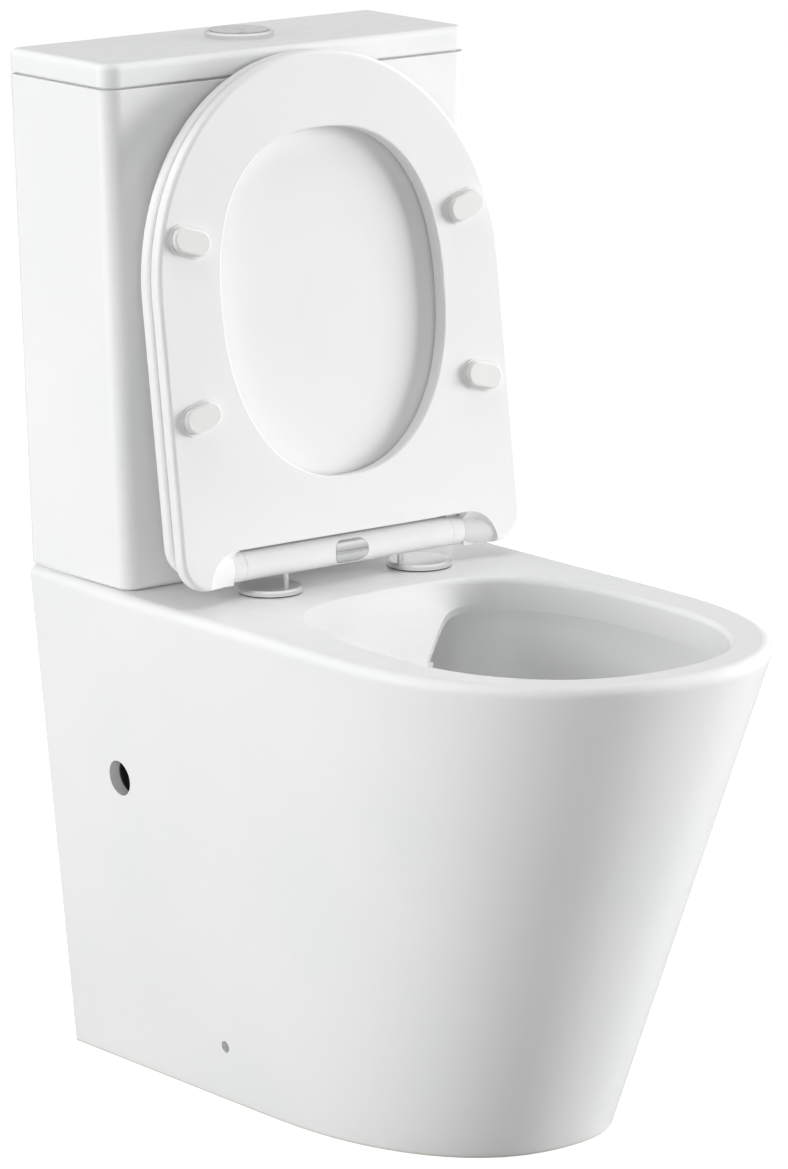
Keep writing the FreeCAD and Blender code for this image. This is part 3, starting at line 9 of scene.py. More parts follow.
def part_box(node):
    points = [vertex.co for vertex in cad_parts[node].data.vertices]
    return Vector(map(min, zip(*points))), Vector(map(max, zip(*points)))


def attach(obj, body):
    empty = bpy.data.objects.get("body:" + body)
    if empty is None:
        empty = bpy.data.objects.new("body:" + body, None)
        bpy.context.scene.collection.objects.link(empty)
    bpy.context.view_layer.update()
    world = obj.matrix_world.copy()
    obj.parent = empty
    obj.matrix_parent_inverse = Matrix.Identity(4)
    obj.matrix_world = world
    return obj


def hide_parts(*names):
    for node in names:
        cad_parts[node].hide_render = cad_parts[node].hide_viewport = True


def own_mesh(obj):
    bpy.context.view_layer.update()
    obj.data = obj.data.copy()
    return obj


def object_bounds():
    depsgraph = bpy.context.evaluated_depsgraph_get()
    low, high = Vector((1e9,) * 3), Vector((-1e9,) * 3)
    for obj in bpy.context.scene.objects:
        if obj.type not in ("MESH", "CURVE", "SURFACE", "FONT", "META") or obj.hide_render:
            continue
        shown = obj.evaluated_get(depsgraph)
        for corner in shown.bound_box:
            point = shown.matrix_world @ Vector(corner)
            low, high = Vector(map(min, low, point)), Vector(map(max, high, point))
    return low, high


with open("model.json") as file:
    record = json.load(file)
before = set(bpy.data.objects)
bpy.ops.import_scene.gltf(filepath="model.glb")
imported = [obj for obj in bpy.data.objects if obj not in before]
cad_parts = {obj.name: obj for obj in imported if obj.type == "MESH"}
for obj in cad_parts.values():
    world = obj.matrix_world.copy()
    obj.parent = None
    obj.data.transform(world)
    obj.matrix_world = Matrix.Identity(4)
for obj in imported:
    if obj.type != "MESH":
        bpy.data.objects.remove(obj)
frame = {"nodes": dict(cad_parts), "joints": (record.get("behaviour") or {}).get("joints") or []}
CAD_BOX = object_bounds()

bl_info = {
    "name": "Close-coupled toilet",
    "version": (1, 0, 0),
    "blender": (4, 5, 0),
    "location": "3D View > Sidebar > Toilet",
    "description": "Gives the toilet its finishes, springs and threads, and sets up a studio for it",
    "category": "Object",
}

# Which pieces share a finish
CHINA = ("pan", "cistern", "cistern_lid")
SEAT = ("seat_ring", "seat_lid", "hinge_bar")
PADS = ("seat_buffers", "lid_buffers")
TURNED_CHROME = ("hinge_discs", "full_flush_button", "half_flush_button", "button_housing")
PLAIN_CHROME = ("hinge_posts", "hinge_release_button")
VALVES = (
    "flush_valve_base", "flush_valve_nut", "flush_valve_tower", "half_flush_float", "fill_valve_body",
    "fill_valve_nut", "fill_valve_head", "button_lock_nut", "full_flush_rod", "half_flush_rod",
    "hinge_sleeves", "cistern_wing_nuts", "flush_nozzle",
)
MOVING = ("overflow_tube", "full_flush_rocker", "half_flush_rocker", "fill_float", "fill_lever")
DAMPERS = ("left_hinge_damper", "right_hinge_damper")
RUBBER = (
    "flush_seal", "cistern_gasket", "flush_valve_washer", "fill_valve_washer", "cistern_bolt_washers",
    "hinge_washers",
)
STEEL = ("rocker_pins", "fill_lever_pin", "cistern_plate_washers", "hinge_stud_nuts")

# Bare clay, up from the floor and in from the back: where it begins to end, and where the glaze is full
FOOT_BARE = 0.0012
FOOT_GLAZED = 0.0024
BACK_BARE = 0.0002
BACK_GLAZED = 0.0006
BARE_ROUGHNESS = 0.6

# The hollow behind the pan's bowl, a little inside its walls and under the flush duct, where shade is painted
HOLLOW_HALF_AT_FOOT = 0.127
HOLLOW_HALF_AT_TOP = 0.166
HOLLOW_REACH_FROM_BACK = 0.24
HOLLOW_BACK_WALL = 0.006
HOLLOW_HEIGHT = 0.318

# Values that soft noise mostly lies between
NOISE_LOW = 0.3
NOISE_HIGH = 0.7

# Fineness of patterns, in patches or lines to the metre
MOULD_FLOW = 11.0
RING_WOBBLE = 90.0
CHROME_HAZE = 140.0
STEEL_PATCHES = 70.0
STEEL_LINES = (260.0, 260.0, 5200.0)

# How far the glaze strays from its mean roughness, the rings from true, and dull steel from its colour
GLAZE_SMOOTHER = 0.96
GLAZE_ROUGHER = 1.06
RING_WOBBLE_ANGLE = 3.0
STEEL_DULLER = 0.82

# Distances from a valve's tail at which its thread begins to fade, and is gone
THREAD_FADES = 0.0002
THREAD_GONE = 0.0006

# Points round coils and rods
COIL_POINTS = 32
WIRE_POINTS = 12
ROD_POINTS = 32
RIDGE_CORNERS = 4
HEAD_CORNERS = 6

# Square lamps: width, and where each one stands
LAMPS = {
    "key": (2.2, (3.75, -1.75, 0.9)),
    "side": (2.0, (-2.9, 1.3, 0.9)),
    "fill": (2.0, (-2.4, -3.0, 0.7)),
    "top": (2.0, (0.0, 0.1, 3.7)),
}

# Floor: half its width, and how far it lies under the foot
FLOOR_HALF = 12.0
FLOOR_DROP = 0.0005

# How steeply a mirrored direction rises where it is full white, from nought to one straight up
MIRRORED_WHITE = 0.8

# Camera: width of its sensor in millimetres, and how far it sees in metres
SENSOR_WIDTH = 36.0
VIEW_END = 100.0


def a_colour(name, description, red, green, blue):
    """A colour that a user may change."""
    return FloatVectorProperty(name=name, description=description, subtype="COLOR", size=4, min=0, max=1,
                               default=(red, green, blue, 1))


def a_length(name, description, millimetres):
    """A length that a user may change, given in millimetres and kept in metres."""
    return FloatProperty(name=name, description=description, unit="LENGTH", subtype="DISTANCE", precision=5,
                         default=millimetres / 1000)


def a_share(name, description, default):
    """A value from nought to one that a user may change."""
    return FloatProperty(name=name, description=description, subtype="FACTOR", min=0, max=1, default=default)


def a_number(name, description, default):
    """A plain number that a user may change."""
    return FloatProperty(name=name, description=description, default=default)


def a_power(name, description, watts):
    """A light's power that a user may change."""
    return FloatProperty(name=name, description=description, subtype="POWER", unit="POWER", min=0,
                         default=watts)


def an_angle(name, description, degrees):
    """An angle that a user may change, given in degrees."""
    return FloatProperty(name=name, description=description, subtype="ANGLE", unit="ROTATION",
                         default=math.radians(degrees))


# Settings in the sidebar


class ChinaSettings(bpy.types.PropertyGroup):
    """Glaze of the pan, the cistern and the cistern's lid"""

    glaze: a_colour("Glaze", "White of the glaze", 0.87, 0.87, 0.868)
    pooled: a_colour("Pooled glaze", "Cooler white where the glaze lies thicker", 0.845, 0.852, 0.858)
    bare: a_colour("Bare clay", "Fired clay without glaze, under the foot and on the back", 0.70, 0.67, 0.62)
    # Hollow: painted shade, a dark colour that stands in for the shade inside the hollow behind the bowl
    hollow: a_colour("Hollow", "Dark clay in the hollow behind the bowl", 0.16, 0.15, 0.14)
    drift: a_length("Drift", "Size of the patches where the glaze lies thicker", 160)
    ripple: a_length("Ripple", "Size of the waves in the glaze", 14)
    roughness: a_share("Roughness", "Roughness of the glaze", 0.25)


class PlasticSettings(bpy.types.PropertyGroup):
    """Moulded plastic of seat, pads, valves and hinge dampers"""

    seat: a_colour("Seat", "White of seat, lid and hinge bar", 0.838, 0.838, 0.836)
    pad: a_colour("Pads", "White of the soft pads", 0.80, 0.80, 0.79)
    valve: a_colour("Valves", "Off-white of the valve bodies", 0.74, 0.74, 0.71)
    moving: a_colour("Moving pieces", "Blue of tube, rockers, float and lever", 0.17, 0.33, 0.52)
    damper: a_colour("Dampers", "Dark grey of the soft-close cartridges", 0.11, 0.11, 0.12)
    rubber: a_colour("Rubber", "Black of seals and washers", 0.035, 0.035, 0.036)
    grain: a_length("Grain", "Size of the moulded grain", 0.9)


class MetalSettings(bpy.types.PropertyGroup):
    """Chrome plate and stainless steel"""

    chrome: a_colour("Chrome", "Colour of the plate", 0.8, 0.802, 0.806)
    steel: a_colour("Steel", "Colour of bolts, pins and springs", 0.48, 0.475, 0.465)
    ring_spacing: a_length("Ring spacing", "Distance between turned rings on discs and buttons", 0.7)
    disc_side: a_length("Disc side", "Distance of each disc's middle from the middle of the toilet", 77.5)


class SpringSettings(bpy.types.PropertyGroup):
    """Coil springs behind the buttons"""

    wire: a_length("Wire", "Thickness of the wire", 1)
    button_turns: a_number("Button turns", "Turns of a flush button's spring", 9)
    release_turns: a_number("Release turns", "Turns of the release spring", 3.5)


class ThreadSettings(bpy.types.PropertyGroup):
    """Screw threads"""

    rod_radius: a_length("Rod radius", "Outer radius of bolts and studs", 4)
    rod_pitch: a_length("Rod pitch", "Pitch of the thread on bolts and studs", 1.25)
    head_radius: a_length("Head radius", "Corner radius of the bolts' heads", 7.5)
    head_height: a_length("Head height", "Height of the bolts' heads", 5.5)
    segments: IntProperty(name="Segments", description="Points in one turn of a thread", default=22, min=8)
    flush_tail: a_length("Flush tail", "Outer radius of the flush valve's tail", 30)
    fill_tail: a_length("Fill tail", "Outer radius of the fill valve's tail", 10.45)
    tail_pitch: a_length("Tail pitch", "Pitch of the thread on the valves' tails", 1.8)
    tail_depth: a_length("Tail depth", "Depth of the thread on the valves' tails", 0.4)
    tail_end: a_length("Tail end", "Plain end of a valve's tail below its thread", 1)


class StudioSettings(bpy.types.PropertyGroup):
    """Camera and light"""

    azimuth: an_angle("Azimuth", "Camera's turn from the toilet's front, below nought to the left", -37.74)
    elevation: an_angle("Elevation", "Camera's height above the level", 13.06)
    roll: an_angle("Roll", "Camera's tilt", -0.33)
    distance: a_length("Distance", "Camera's distance from the target", 5082)
    target: FloatVectorProperty(name="Target", description="Point that the camera turns about", subtype="XYZ",
                                unit="LENGTH", default=(0, 0.074, 0.4))
    lens: a_number("Lens", "Focal length in millimetres", 190.8)
    shift: FloatVectorProperty(name="Shift", description="Lens shift, across and up", size=2,
                               default=(0.0138, 0.0236))
    floor: a_colour("Floor", "Colour of the floor for the light that it throws back", 0.44, 0.44, 0.44)
    floor_shade: a_colour("Floor shade", "How much of its light the floor shows to the eye", 0.4, 0.4, 0.4)
    floor_glow: a_share("Floor glow", "White that the floor shows even in the shade", 0.93)
    ambient: a_share("Ambient", "Strength of the light from all round", 0.17)
    horizon: a_share("Horizon", "Brightness that mirrors show near the horizon", 0.6)
    key: a_power("Key", "Power of the large light at the right", 236)
    side: a_power("Side", "Power of the light at the left, a little behind", 78)
    fill: a_power("Fill", "Power of the weak light at the front left", 39)
    top: a_power("Top", "Power of the weak light overhead", 45)


# Small helpers for node trees

FLOAT = "NodeSocketFloat"
COLOUR = "NodeSocketColor"
VECTOR = "NodeSocketVector"
GEOMETRY = "NodeSocketGeometry"
MATERIAL = "NodeSocketMaterial"


def add_node(tree, kind, inputs=None, **settings):
    """A new node; an input is a value, or a socket to link from."""
    node = tree.nodes.new(kind)
    for name, value in settings.items():
        setattr(node, name, value)
    for socket, value in (inputs or {}).items():
        if isinstance(value, bpy.types.NodeSocket):
            tree.links.new(value, node.inputs[socket])
        else:
            node.inputs[socket].default_value = value
    return node


def reckon(tree, operation, first, second=0.0):
    """The result of a sum with one or two values."""
    return add_node(tree, "ShaderNodeMath", {0: first, 1: second}, operation=operation).outputs[0]


def fade(tree, value, low, high, start=0.0, end=1.0):
    """A value that goes smoothly from start to end while another goes from low to high."""
    inputs = {"Value": value, "From Min": low, "From Max": high, "To Min": start, "To Max": end}
    return add_node(tree, "ShaderNodeMapRange", inputs, interpolation_type="SMOOTHSTEP").outputs["Result"]


def mix_colours(tree, share, first, second):
    """A colour between two."""
    return add_node(tree, "ShaderNodeMix", {0: share, 6: first, 7: second}, data_type="RGBA").outputs[2]


def noise(tree, place, scale, detail=2.0):
    """Soft noise in place, from nought to one."""
    inputs = {"Vector": place, "Scale": scale, "Detail": detail, "Roughness": 0.5}
    return add_node(tree, "ShaderNodeTexNoise", inputs).outputs["Fac"]


def parts_of(tree, place):
    """The three parts of a place, by name."""
    return add_node(tree, "ShaderNodeSeparateXYZ", {0: place}).outputs


def vector(tree, **parts):
    """A vector from the parts that are given; the others are nought."""
    return add_node(tree, "ShaderNodeCombineXYZ", parts).outputs[0]


def distance(tree, across, along):
    """How far a point is from an upright axis."""
    across_squared = reckon(tree, "MULTIPLY", across, across)
    along_squared = reckon(tree, "MULTIPLY", along, along)
    return reckon(tree, "SQRT", reckon(tree, "ADD", across_squared, along_squared))


def empty_tree(owner):
    """The cleared node tree of a material or a world."""
    owner.use_nodes = True
    owner.node_tree.nodes.clear()
    return owner.node_tree


def new_tree(name, kind, inputs, outputs):
    """An empty node group with named sockets, its input node and its output node."""
    tree = bpy.data.node_groups.new(name, kind)
    for in_out, sockets in (("INPUT", inputs), ("OUTPUT", outputs)):
        for label, socket_type in sockets:
            tree.interface.new_socket(label, in_out=in_out, socket_type=socket_type)
    return tree, tree.nodes.new("NodeGroupInput"), tree.nodes.new("NodeGroupOutput")


def one_tree(build):
    """Builds a node group the first time, and hands out the same one after that."""
    made = bpy.data.node_groups.get(build.__name__)
    return made if made else build(build.__name__)


def send(tree, group_out, **values):
    """Links values to a group's outputs."""
    for name, value in values.items():
        tree.links.new(value, group_out.inputs[name])


# Effects that finishes are made from


def glaze_flow(name):
    """Glaze that lies thicker in places and has a faint ripple."""
    tree, given, made = new_tree(
        name, "ShaderNodeTree",
        [("Place", VECTOR), ("Thin", COLOUR), ("Thick", COLOUR), ("Drift", FLOAT), ("Ripple", FLOAT),
         ("Mean", FLOAT)],
        [("Colour", COLOUR), ("Roughness", FLOAT), ("Height", FLOAT)])
    sockets = given.outputs
    drift = noise(tree, sockets["Place"], reckon(tree, "DIVIDE", 1.0, sockets["Drift"]), detail=3.0)
    thickness = fade(tree, drift, low=0.35, high=0.65)
    ripple = noise(tree, sockets["Place"], reckon(tree, "DIVIDE", 1.0, sockets["Ripple"]), detail=1.0)
    smooth = reckon(tree, "MULTIPLY", sockets["Mean"], GLAZE_SMOOTHER)
    rough = reckon(tree, "MULTIPLY", sockets["Mean"], GLAZE_ROUGHER)
    send(tree, made,
         Colour=mix_colours(tree, thickness, sockets["Thin"], sockets["Thick"]),
         Roughness=fade(tree, ripple, NOISE_LOW, NOISE_HIGH, smooth, rough),
         Height=ripple)
    return tree


def moulded_grain(name):
    """Moulded plastic or rubber: fine grain, and a slow change of tone where the mould filled."""
    tree, given, made = new_tree(
        name, "ShaderNodeTree",
        [("Place", VECTOR), ("Colour", COLOUR), ("Tone", FLOAT), ("Grain", FLOAT), ("Smooth", FLOAT),
         ("Rough", FLOAT)],
        [("Colour", COLOUR), ("Roughness", FLOAT), ("Height", FLOAT)])
    sockets = given.outputs
    grain = noise(tree, sockets["Place"], reckon(tree, "DIVIDE", 1.0, sockets["Grain"]))
    flow = fade(tree, noise(tree, sockets["Place"], MOULD_FLOW), NOISE_LOW, NOISE_HIGH)
    darker = add_node(tree, "ShaderNodeVectorMath", {0: sockets["Colour"], "Scale": sockets["Tone"]},
                      operation="SCALE").outputs[0]
    send(tree, made,
         Colour=mix_colours(tree, flow, sockets["Colour"], darker),
         Roughness=fade(tree, grain, low=0.25, high=0.75, start=sockets["Smooth"], end=sockets["Rough"]),
         Height=grain)
    return tree


def turned_rings(name):
    """Fine rings round an upright axis, as a lathe leaves them, on both sides of the middle."""
    tree, given, made = new_tree(
        name, "ShaderNodeTree",
        [("Place", VECTOR), ("Across", FLOAT), ("Along", FLOAT), ("Spacing", FLOAT), ("Smooth", FLOAT),
         ("Rough", FLOAT)],
        [("Roughness", FLOAT), ("Height", FLOAT)])
    sockets = given.outputs
    place = parts_of(tree, sockets["Place"])
    across = reckon(tree, "SUBTRACT", reckon(tree, "ABSOLUTE", place["X"]), sockets["Across"])
    along = reckon(tree, "SUBTRACT", place["Y"], sockets["Along"])
    radius = distance(tree, across, along)
    turns = reckon(tree, "MULTIPLY", reckon(tree, "DIVIDE", radius, sockets["Spacing"]), math.tau)
    wobble = reckon(tree, "MULTIPLY", noise(tree, sockets["Place"], RING_WOBBLE), RING_WOBBLE_ANGLE)
    wave = reckon(tree, "SINE", reckon(tree, "ADD", turns, wobble))
    send(tree, made,
         Roughness=fade(tree, wave, -1.0, 1.0, sockets["Smooth"], sockets["Rough"]),
         Height=wave)
    return tree


def screw_thread(name):
    """Ridges of a thread on an upright round tail, nought elsewhere."""
    tree, given, made = new_tree(
        name, "ShaderNodeTree",
        [("Place", VECTOR), ("Across", FLOAT), ("Along", FLOAT), ("Radius", FLOAT), ("Low", FLOAT),
         ("High", FLOAT), ("Pitch", FLOAT)],
        [("Height", FLOAT)])
    sockets = given.outputs
    place = parts_of(tree, sockets["Place"])
    across = reckon(tree, "SUBTRACT", place["X"], sockets["Across"])
    along = reckon(tree, "SUBTRACT", place["Y"], sockets["Along"])
    radius = distance(tree, across, along)
    off = reckon(tree, "ABSOLUTE", reckon(tree, "SUBTRACT", radius, sockets["Radius"]))
    on_tail = fade(tree, off, THREAD_FADES, THREAD_GONE, start=1.0, end=0.0)
    above = reckon(tree, "GREATER_THAN", place["Z"], sockets["Low"])
    below = reckon(tree, "LESS_THAN", place["Z"], sockets["High"])
    where = reckon(tree, "MULTIPLY", on_tail, reckon(tree, "MULTIPLY", above, below))
    climb = reckon(tree, "MULTIPLY", reckon(tree, "DIVIDE", place["Z"], sockets["Pitch"]), math.tau)
    turn = reckon(tree, "ARCTAN2", along, across)
    ridge = reckon(tree, "SINE", reckon(tree, "SUBTRACT", climb, turn))
    send(tree, made, Height=reckon(tree, "MULTIPLY", where, ridge))
    return tree


# Finishes


def new_finish(name, **constants):
    """A new material with one surface shader; constants are set on its sockets."""
    material = bpy.data.materials.new(name)
    tree = empty_tree(material)
    surface = tree.nodes.new("ShaderNodeBsdfPrincipled")
    out = tree.nodes.new("ShaderNodeOutputMaterial")
    tree.links.new(surface.outputs[0], out.inputs["Surface"])
    for socket, value in constants.items():
        surface.inputs[socket.replace("_", " ")].default_value = value
    place = tree.nodes.new("ShaderNodeTexCoord").outputs["Object"]
    return material, tree, surface, place


def effect(tree, build, **inputs):
    """An effect placed in a material with its own values."""
    return add_node(tree, "ShaderNodeGroup", inputs, node_tree=one_tree(build)).outputs


def raise_surface(tree, surface, height, depth, strength=1.0):
    """Bumps a surface by a height."""
    bump = add_node(tree, "ShaderNodeBump", {"Height": height, "Distance": depth, "Strength": strength})
    tree.links.new(bump.outputs[0], surface.inputs["Normal"])


def middle_of(node):
    """The middle of a node's box."""
    low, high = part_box(node)
    return (low + high) / 2


def pan_hollow(tree, place):
    """Where shade is painted: one in the hollow under the flush duct, from the back wall to behind the bowl,
    and nought elsewhere.
    """
    low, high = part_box("pan")
    sides = fade(tree, place["Z"], low.z, high.z, HOLLOW_HALF_AT_FOOT, HOLLOW_HALF_AT_TOP)
    across = reckon(tree, "LESS_THAN", reckon(tree, "ABSOLUTE", place["X"]), sides)
    behind = reckon(tree, "GREATER_THAN", place["Y"], high.y - HOLLOW_REACH_FROM_BACK)
    ahead = reckon(tree, "LESS_THAN", place["Y"], high.y - HOLLOW_BACK_WALL)
    under = reckon(tree, "LESS_THAN", place["Z"], low.z + HOLLOW_HEIGHT)
    within = reckon(tree, "MULTIPLY", across, under)
    return reckon(tree, "MULTIPLY", within, reckon(tree, "MULTIPLY", behind, ahead))


def glazed_china(china):
    """White glaze over fired clay, which is bare under the foot and on the back, with painted shade in the
    hollow: a dark colour standing in for the shade inside it.
    """
    material, tree, surface, place = new_finish("glazed_china", IOR=1.52)
    flow = effect(tree, glaze_flow, Place=place, Thin=china.glaze, Thick=china.pooled, Drift=china.drift,
                  Ripple=china.ripple, Mean=china.roughness)
    split = parts_of(tree, place)
    back_face = CAD_BOX[1].y
    foot = fade(tree, split["Z"], FOOT_BARE, FOOT_GLAZED, start=1.0, end=0.0)
    back = fade(tree, split["Y"], back_face - BACK_GLAZED, back_face - BACK_BARE)
    bare = reckon(tree, "MAXIMUM", foot, back)
    # Painted shade: the hollow behind the bowl is given a dark colour that stands in for the shade inside it
    hollow = pan_hollow(tree, split)
    colour = mix_colours(tree, bare, flow["Colour"], china.bare)
    colour = mix_colours(tree, hollow, colour, china.hollow)
    unglazed = reckon(tree, "MAXIMUM", bare, hollow)
    rough = fade(tree, unglazed, 0.0, 1.0, flow["Roughness"], BARE_ROUGHNESS)
    tree.links.new(colour, surface.inputs["Base Color"])
    tree.links.new(rough, surface.inputs["Roughness"])
    raise_surface(tree, surface, flow["Height"], depth=0.00012, strength=0.15)
    return material


def moulded(name, plastics, colour, tone, smooth, rough, depth, grain=1.0, **constants):
    """Moulded plastic or rubber."""
    material, tree, surface, place = new_finish(name, **constants)
    grained = effect(tree, moulded_grain, Place=place, Colour=colour, Tone=tone, Grain=plastics.grain * grain,
                     Smooth=smooth, Rough=rough)
    tree.links.new(grained["Colour"], surface.inputs["Base Color"])
    tree.links.new(grained["Roughness"], surface.inputs["Roughness"])
    raise_surface(tree, surface, grained["Height"], depth)
    return material


def threaded_valve(plastics, threads):
    """Valve plastic with threads on the two tails that go through the cistern's floor."""
    material = moulded("valve_plastic", plastics, plastics.valve, tone=0.94, smooth=0.32, rough=0.46,
                       depth=0.00002)
    tree = material.node_tree
    nodes = {node.type: node for node in tree.nodes}
    surface = nodes["BSDF_PRINCIPLED"]
    grain = nodes["BUMP"]
    place = nodes["TEX_COORD"].outputs["Object"]
    cistern_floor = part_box("cistern")[0].z
    heights = []
    for piece, radius in (("flush_valve_base", threads.flush_tail), ("fill_valve_body", threads.fill_tail)):
        middle = middle_of(piece)
        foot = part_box(piece)[0].z
        thread = effect(tree, screw_thread, Place=place, Across=middle.x, Along=middle.y, Radius=radius,
                        Low=foot + threads.tail_end, High=cistern_floor, Pitch=threads.tail_pitch)
        heights.append(thread["Height"])
    ridges = add_node(tree, "ShaderNodeBump", {
        "Height": reckon(tree, "ADD", *heights), "Distance": threads.tail_depth, "Normal": grain.outputs[0]})
    tree.links.new(ridges.outputs[0], surface.inputs["Normal"])
    return material


def turned_chrome(name, metals, across, along):
    """Chrome plate over a turned face."""
    material, tree, surface, place = new_finish(name, Base_Color=metals.chrome, Metallic=1.0)
    rings = effect(tree, turned_rings, Place=place, Across=across, Along=along, Spacing=metals.ring_spacing,
                   Smooth=0.2, Rough=0.28)
    tree.links.new(rings["Roughness"], surface.inputs["Roughness"])
    raise_surface(tree, surface, rings["Height"], depth=0.000001)
    return material


def plain_chrome(metals):
    """Bright chrome plate with the faintest haze."""
    material, tree, surface, place = new_finish("plain_chrome", Base_Color=metals.chrome, Metallic=1.0)
    haze = noise(tree, place, CHROME_HAZE, detail=3.0)
    rough = fade(tree, haze, NOISE_LOW, NOISE_HIGH, start=0.04, end=0.10)
    tree.links.new(rough, surface.inputs["Roughness"])
    raise_surface(tree, surface, haze, depth=0.000006)
    return material


def brushed_steel(metals):
    """Drawn steel with fine lines across its axis."""
    material, tree, surface, place = new_finish("brushed_steel", Metallic=1.0)
    stretched = add_node(tree, "ShaderNodeMapping", {"Vector": place, "Scale": STEEL_LINES}).outputs[0]
    lines = noise(tree, stretched, scale=1.0, detail=3.0)
    patches = noise(tree, place, STEEL_PATCHES)
    dull = tuple(STEEL_DULLER * value for value in metals.steel[:3]) + (1.0,)
    colour = mix_colours(tree, fade(tree, patches, NOISE_LOW, NOISE_HIGH), metals.steel, dull)
    rough = fade(tree, lines, NOISE_LOW, NOISE_HIGH, start=0.22, end=0.42)
    tree.links.new(colour, surface.inputs["Base Color"])
    tree.links.new(rough, surface.inputs["Roughness"])
    raise_surface(tree, surface, lines, depth=0.00001)
    return material


def steel_finish(context):
    """The one steel of pins, washers, nuts, springs and bolts."""
    made = bpy.data.materials.get("brushed_steel")
    return made if made else brushed_steel(context.scene.toilet_metals)


def dress(names, material):
    """Gives pieces a finish."""
    for name in names:
        frame["nodes"][name].material_slots[0].material = material


# Shapes that follow a rule


def moved(tree, shape, place, **more):
    """A shape put in another place."""
    inputs = {"Geometry": shape, "Translation": place, **more}
    return add_node(tree, "GeometryNodeTransform", inputs).outputs[0]


def swept(tree, line, section):
    """A solid whose section follows a line."""
    inputs = {"Curve": line, "Profile Curve": section, "Fill Caps": True}
    return add_node(tree, "GeometryNodeCurveToMesh", inputs).outputs[0]


def helix(tree, points, turns, radius, height, foot):
    """A line that winds up from a foot; points are for each turn."""
    line = add_node(tree, "GeometryNodeCurveSpiral", {
        "Resolution": points, "Rotations": turns, "Start Radius": radius, "End Radius": radius,
        "Height": height})
    return moved(tree, line.outputs[0], vector(tree, Z=foot))


def circle(tree, points, radius):
    """A circle, or with few points a shape with as many corners."""
    inputs = {"Resolution": points, "Radius": radius}
    return add_node(tree, "GeometryNodeCurvePrimitiveCircle", inputs).outputs[0]


def upright(tree, points, radius, foot, height):
    """A solid rod that stands on a foot."""
    rod = add_node(tree, "GeometryNodeMeshCylinder", {"Vertices": points, "Radius": radius, "Depth": height})
    middle = reckon(tree, "ADD", foot, reckon(tree, "DIVIDE", height, 2.0))
    return moved(tree, rod.outputs["Mesh"], vector(tree, Z=middle))


def finish_shape(tree, shape, material, made, smooth=True):
    """Ends a tree: real meshes, shading and material."""
    real = add_node(tree, "GeometryNodeRealizeInstances", {"Geometry": shape})
    shaded = add_node(tree, "GeometryNodeSetShadeSmooth", {
        "Geometry": real.outputs[0], "Shade Smooth": smooth})
    finished = add_node(tree, "GeometryNodeSetMaterial", {
        "Geometry": shaded.outputs[0], "Material": material})
    tree.links.new(finished.outputs[0], made.inputs["Geometry"])


def coil_spring(name):
    """A coil of round wire along z."""
    tree, given, made = new_tree(
        name, "GeometryNodeTree",
        [("Radius", FLOAT), ("Wire", FLOAT), ("Length", FLOAT), ("Turns", FLOAT), ("Place", VECTOR),
         ("Lean", VECTOR), ("Material", MATERIAL)],
        [("Geometry", GEOMETRY)])
    sockets = given.outputs
    half_wire = reckon(tree, "DIVIDE", sockets["Wire"], 2.0)
    mean = reckon(tree, "SUBTRACT", sockets["Radius"], half_wire)
    rise = reckon(tree, "SUBTRACT", sockets["Length"], sockets["Wire"])
    line = helix(tree, COIL_POINTS, sockets["Turns"], mean, rise, foot=half_wire)
    coil = swept(tree, line, circle(tree, WIRE_POINTS, half_wire))
    placed = moved(tree, coil, sockets["Place"], Rotation=sockets["Lean"])
    finish_shape(tree, placed, sockets["Material"], made)
    return tree


def threaded_rods(name):
    """Two upright threaded rods side by side, with or without six-sided heads."""
    tree, given, made = new_tree(
        name, "GeometryNodeTree",
        [("Radius", FLOAT), ("Pitch", FLOAT), ("Length", FLOAT), ("Segments", "NodeSocketInt"),
         ("Has head", "NodeSocketBool"), ("Head radius", FLOAT), ("Head height", FLOAT), ("Spacing", FLOAT),
         ("Place", VECTOR), ("Material", MATERIAL)],
        [("Geometry", GEOMETRY)])
    sockets = given.outputs
    depth = reckon(tree, "DIVIDE", sockets["Pitch"], 2.0)
    root = reckon(tree, "SUBTRACT", sockets["Radius"], depth)
    core = upright(tree, ROD_POINTS, root, foot=0.0, height=sockets["Length"])
    rise = reckon(tree, "SUBTRACT", sockets["Length"], sockets["Pitch"])
    turns = reckon(tree, "DIVIDE", rise, sockets["Pitch"])
    line = helix(tree, sockets["Segments"], turns, root, rise, foot=depth)
    line = add_node(tree, "GeometryNodeSetCurveNormal", {"Curve": line}, mode="Z_UP").outputs[0]
    thread = swept(tree, line, circle(tree, RIDGE_CORNERS, depth))
    head = upright(tree, HEAD_CORNERS, sockets["Head radius"], sockets["Length"], sockets["Head height"])
    shown_head = add_node(tree, "GeometryNodeSwitch", {"Switch": sockets["Has head"], "True": head},
                          input_type="GEOMETRY").outputs[0]
    rod = tree.nodes.new("GeometryNodeJoinGeometry")
    for part in (core, thread, shown_head):
        tree.links.new(part, rod.inputs[0])
    left = vector(tree, X=reckon(tree, "DIVIDE", sockets["Spacing"], -2.0))
    step = vector(tree, X=sockets["Spacing"])
    places = add_node(tree, "GeometryNodeMeshLine", {"Count": 2, "Start Location": left, "Offset": step})
    pair = add_node(tree, "GeometryNodeInstanceOnPoints", {
        "Points": places.outputs[0], "Instance": rod.outputs[0]})
    placed = moved(tree, pair.outputs[0], sockets["Place"])
    finish_shape(tree, placed, sockets["Material"], made, smooth=False)
    return tree


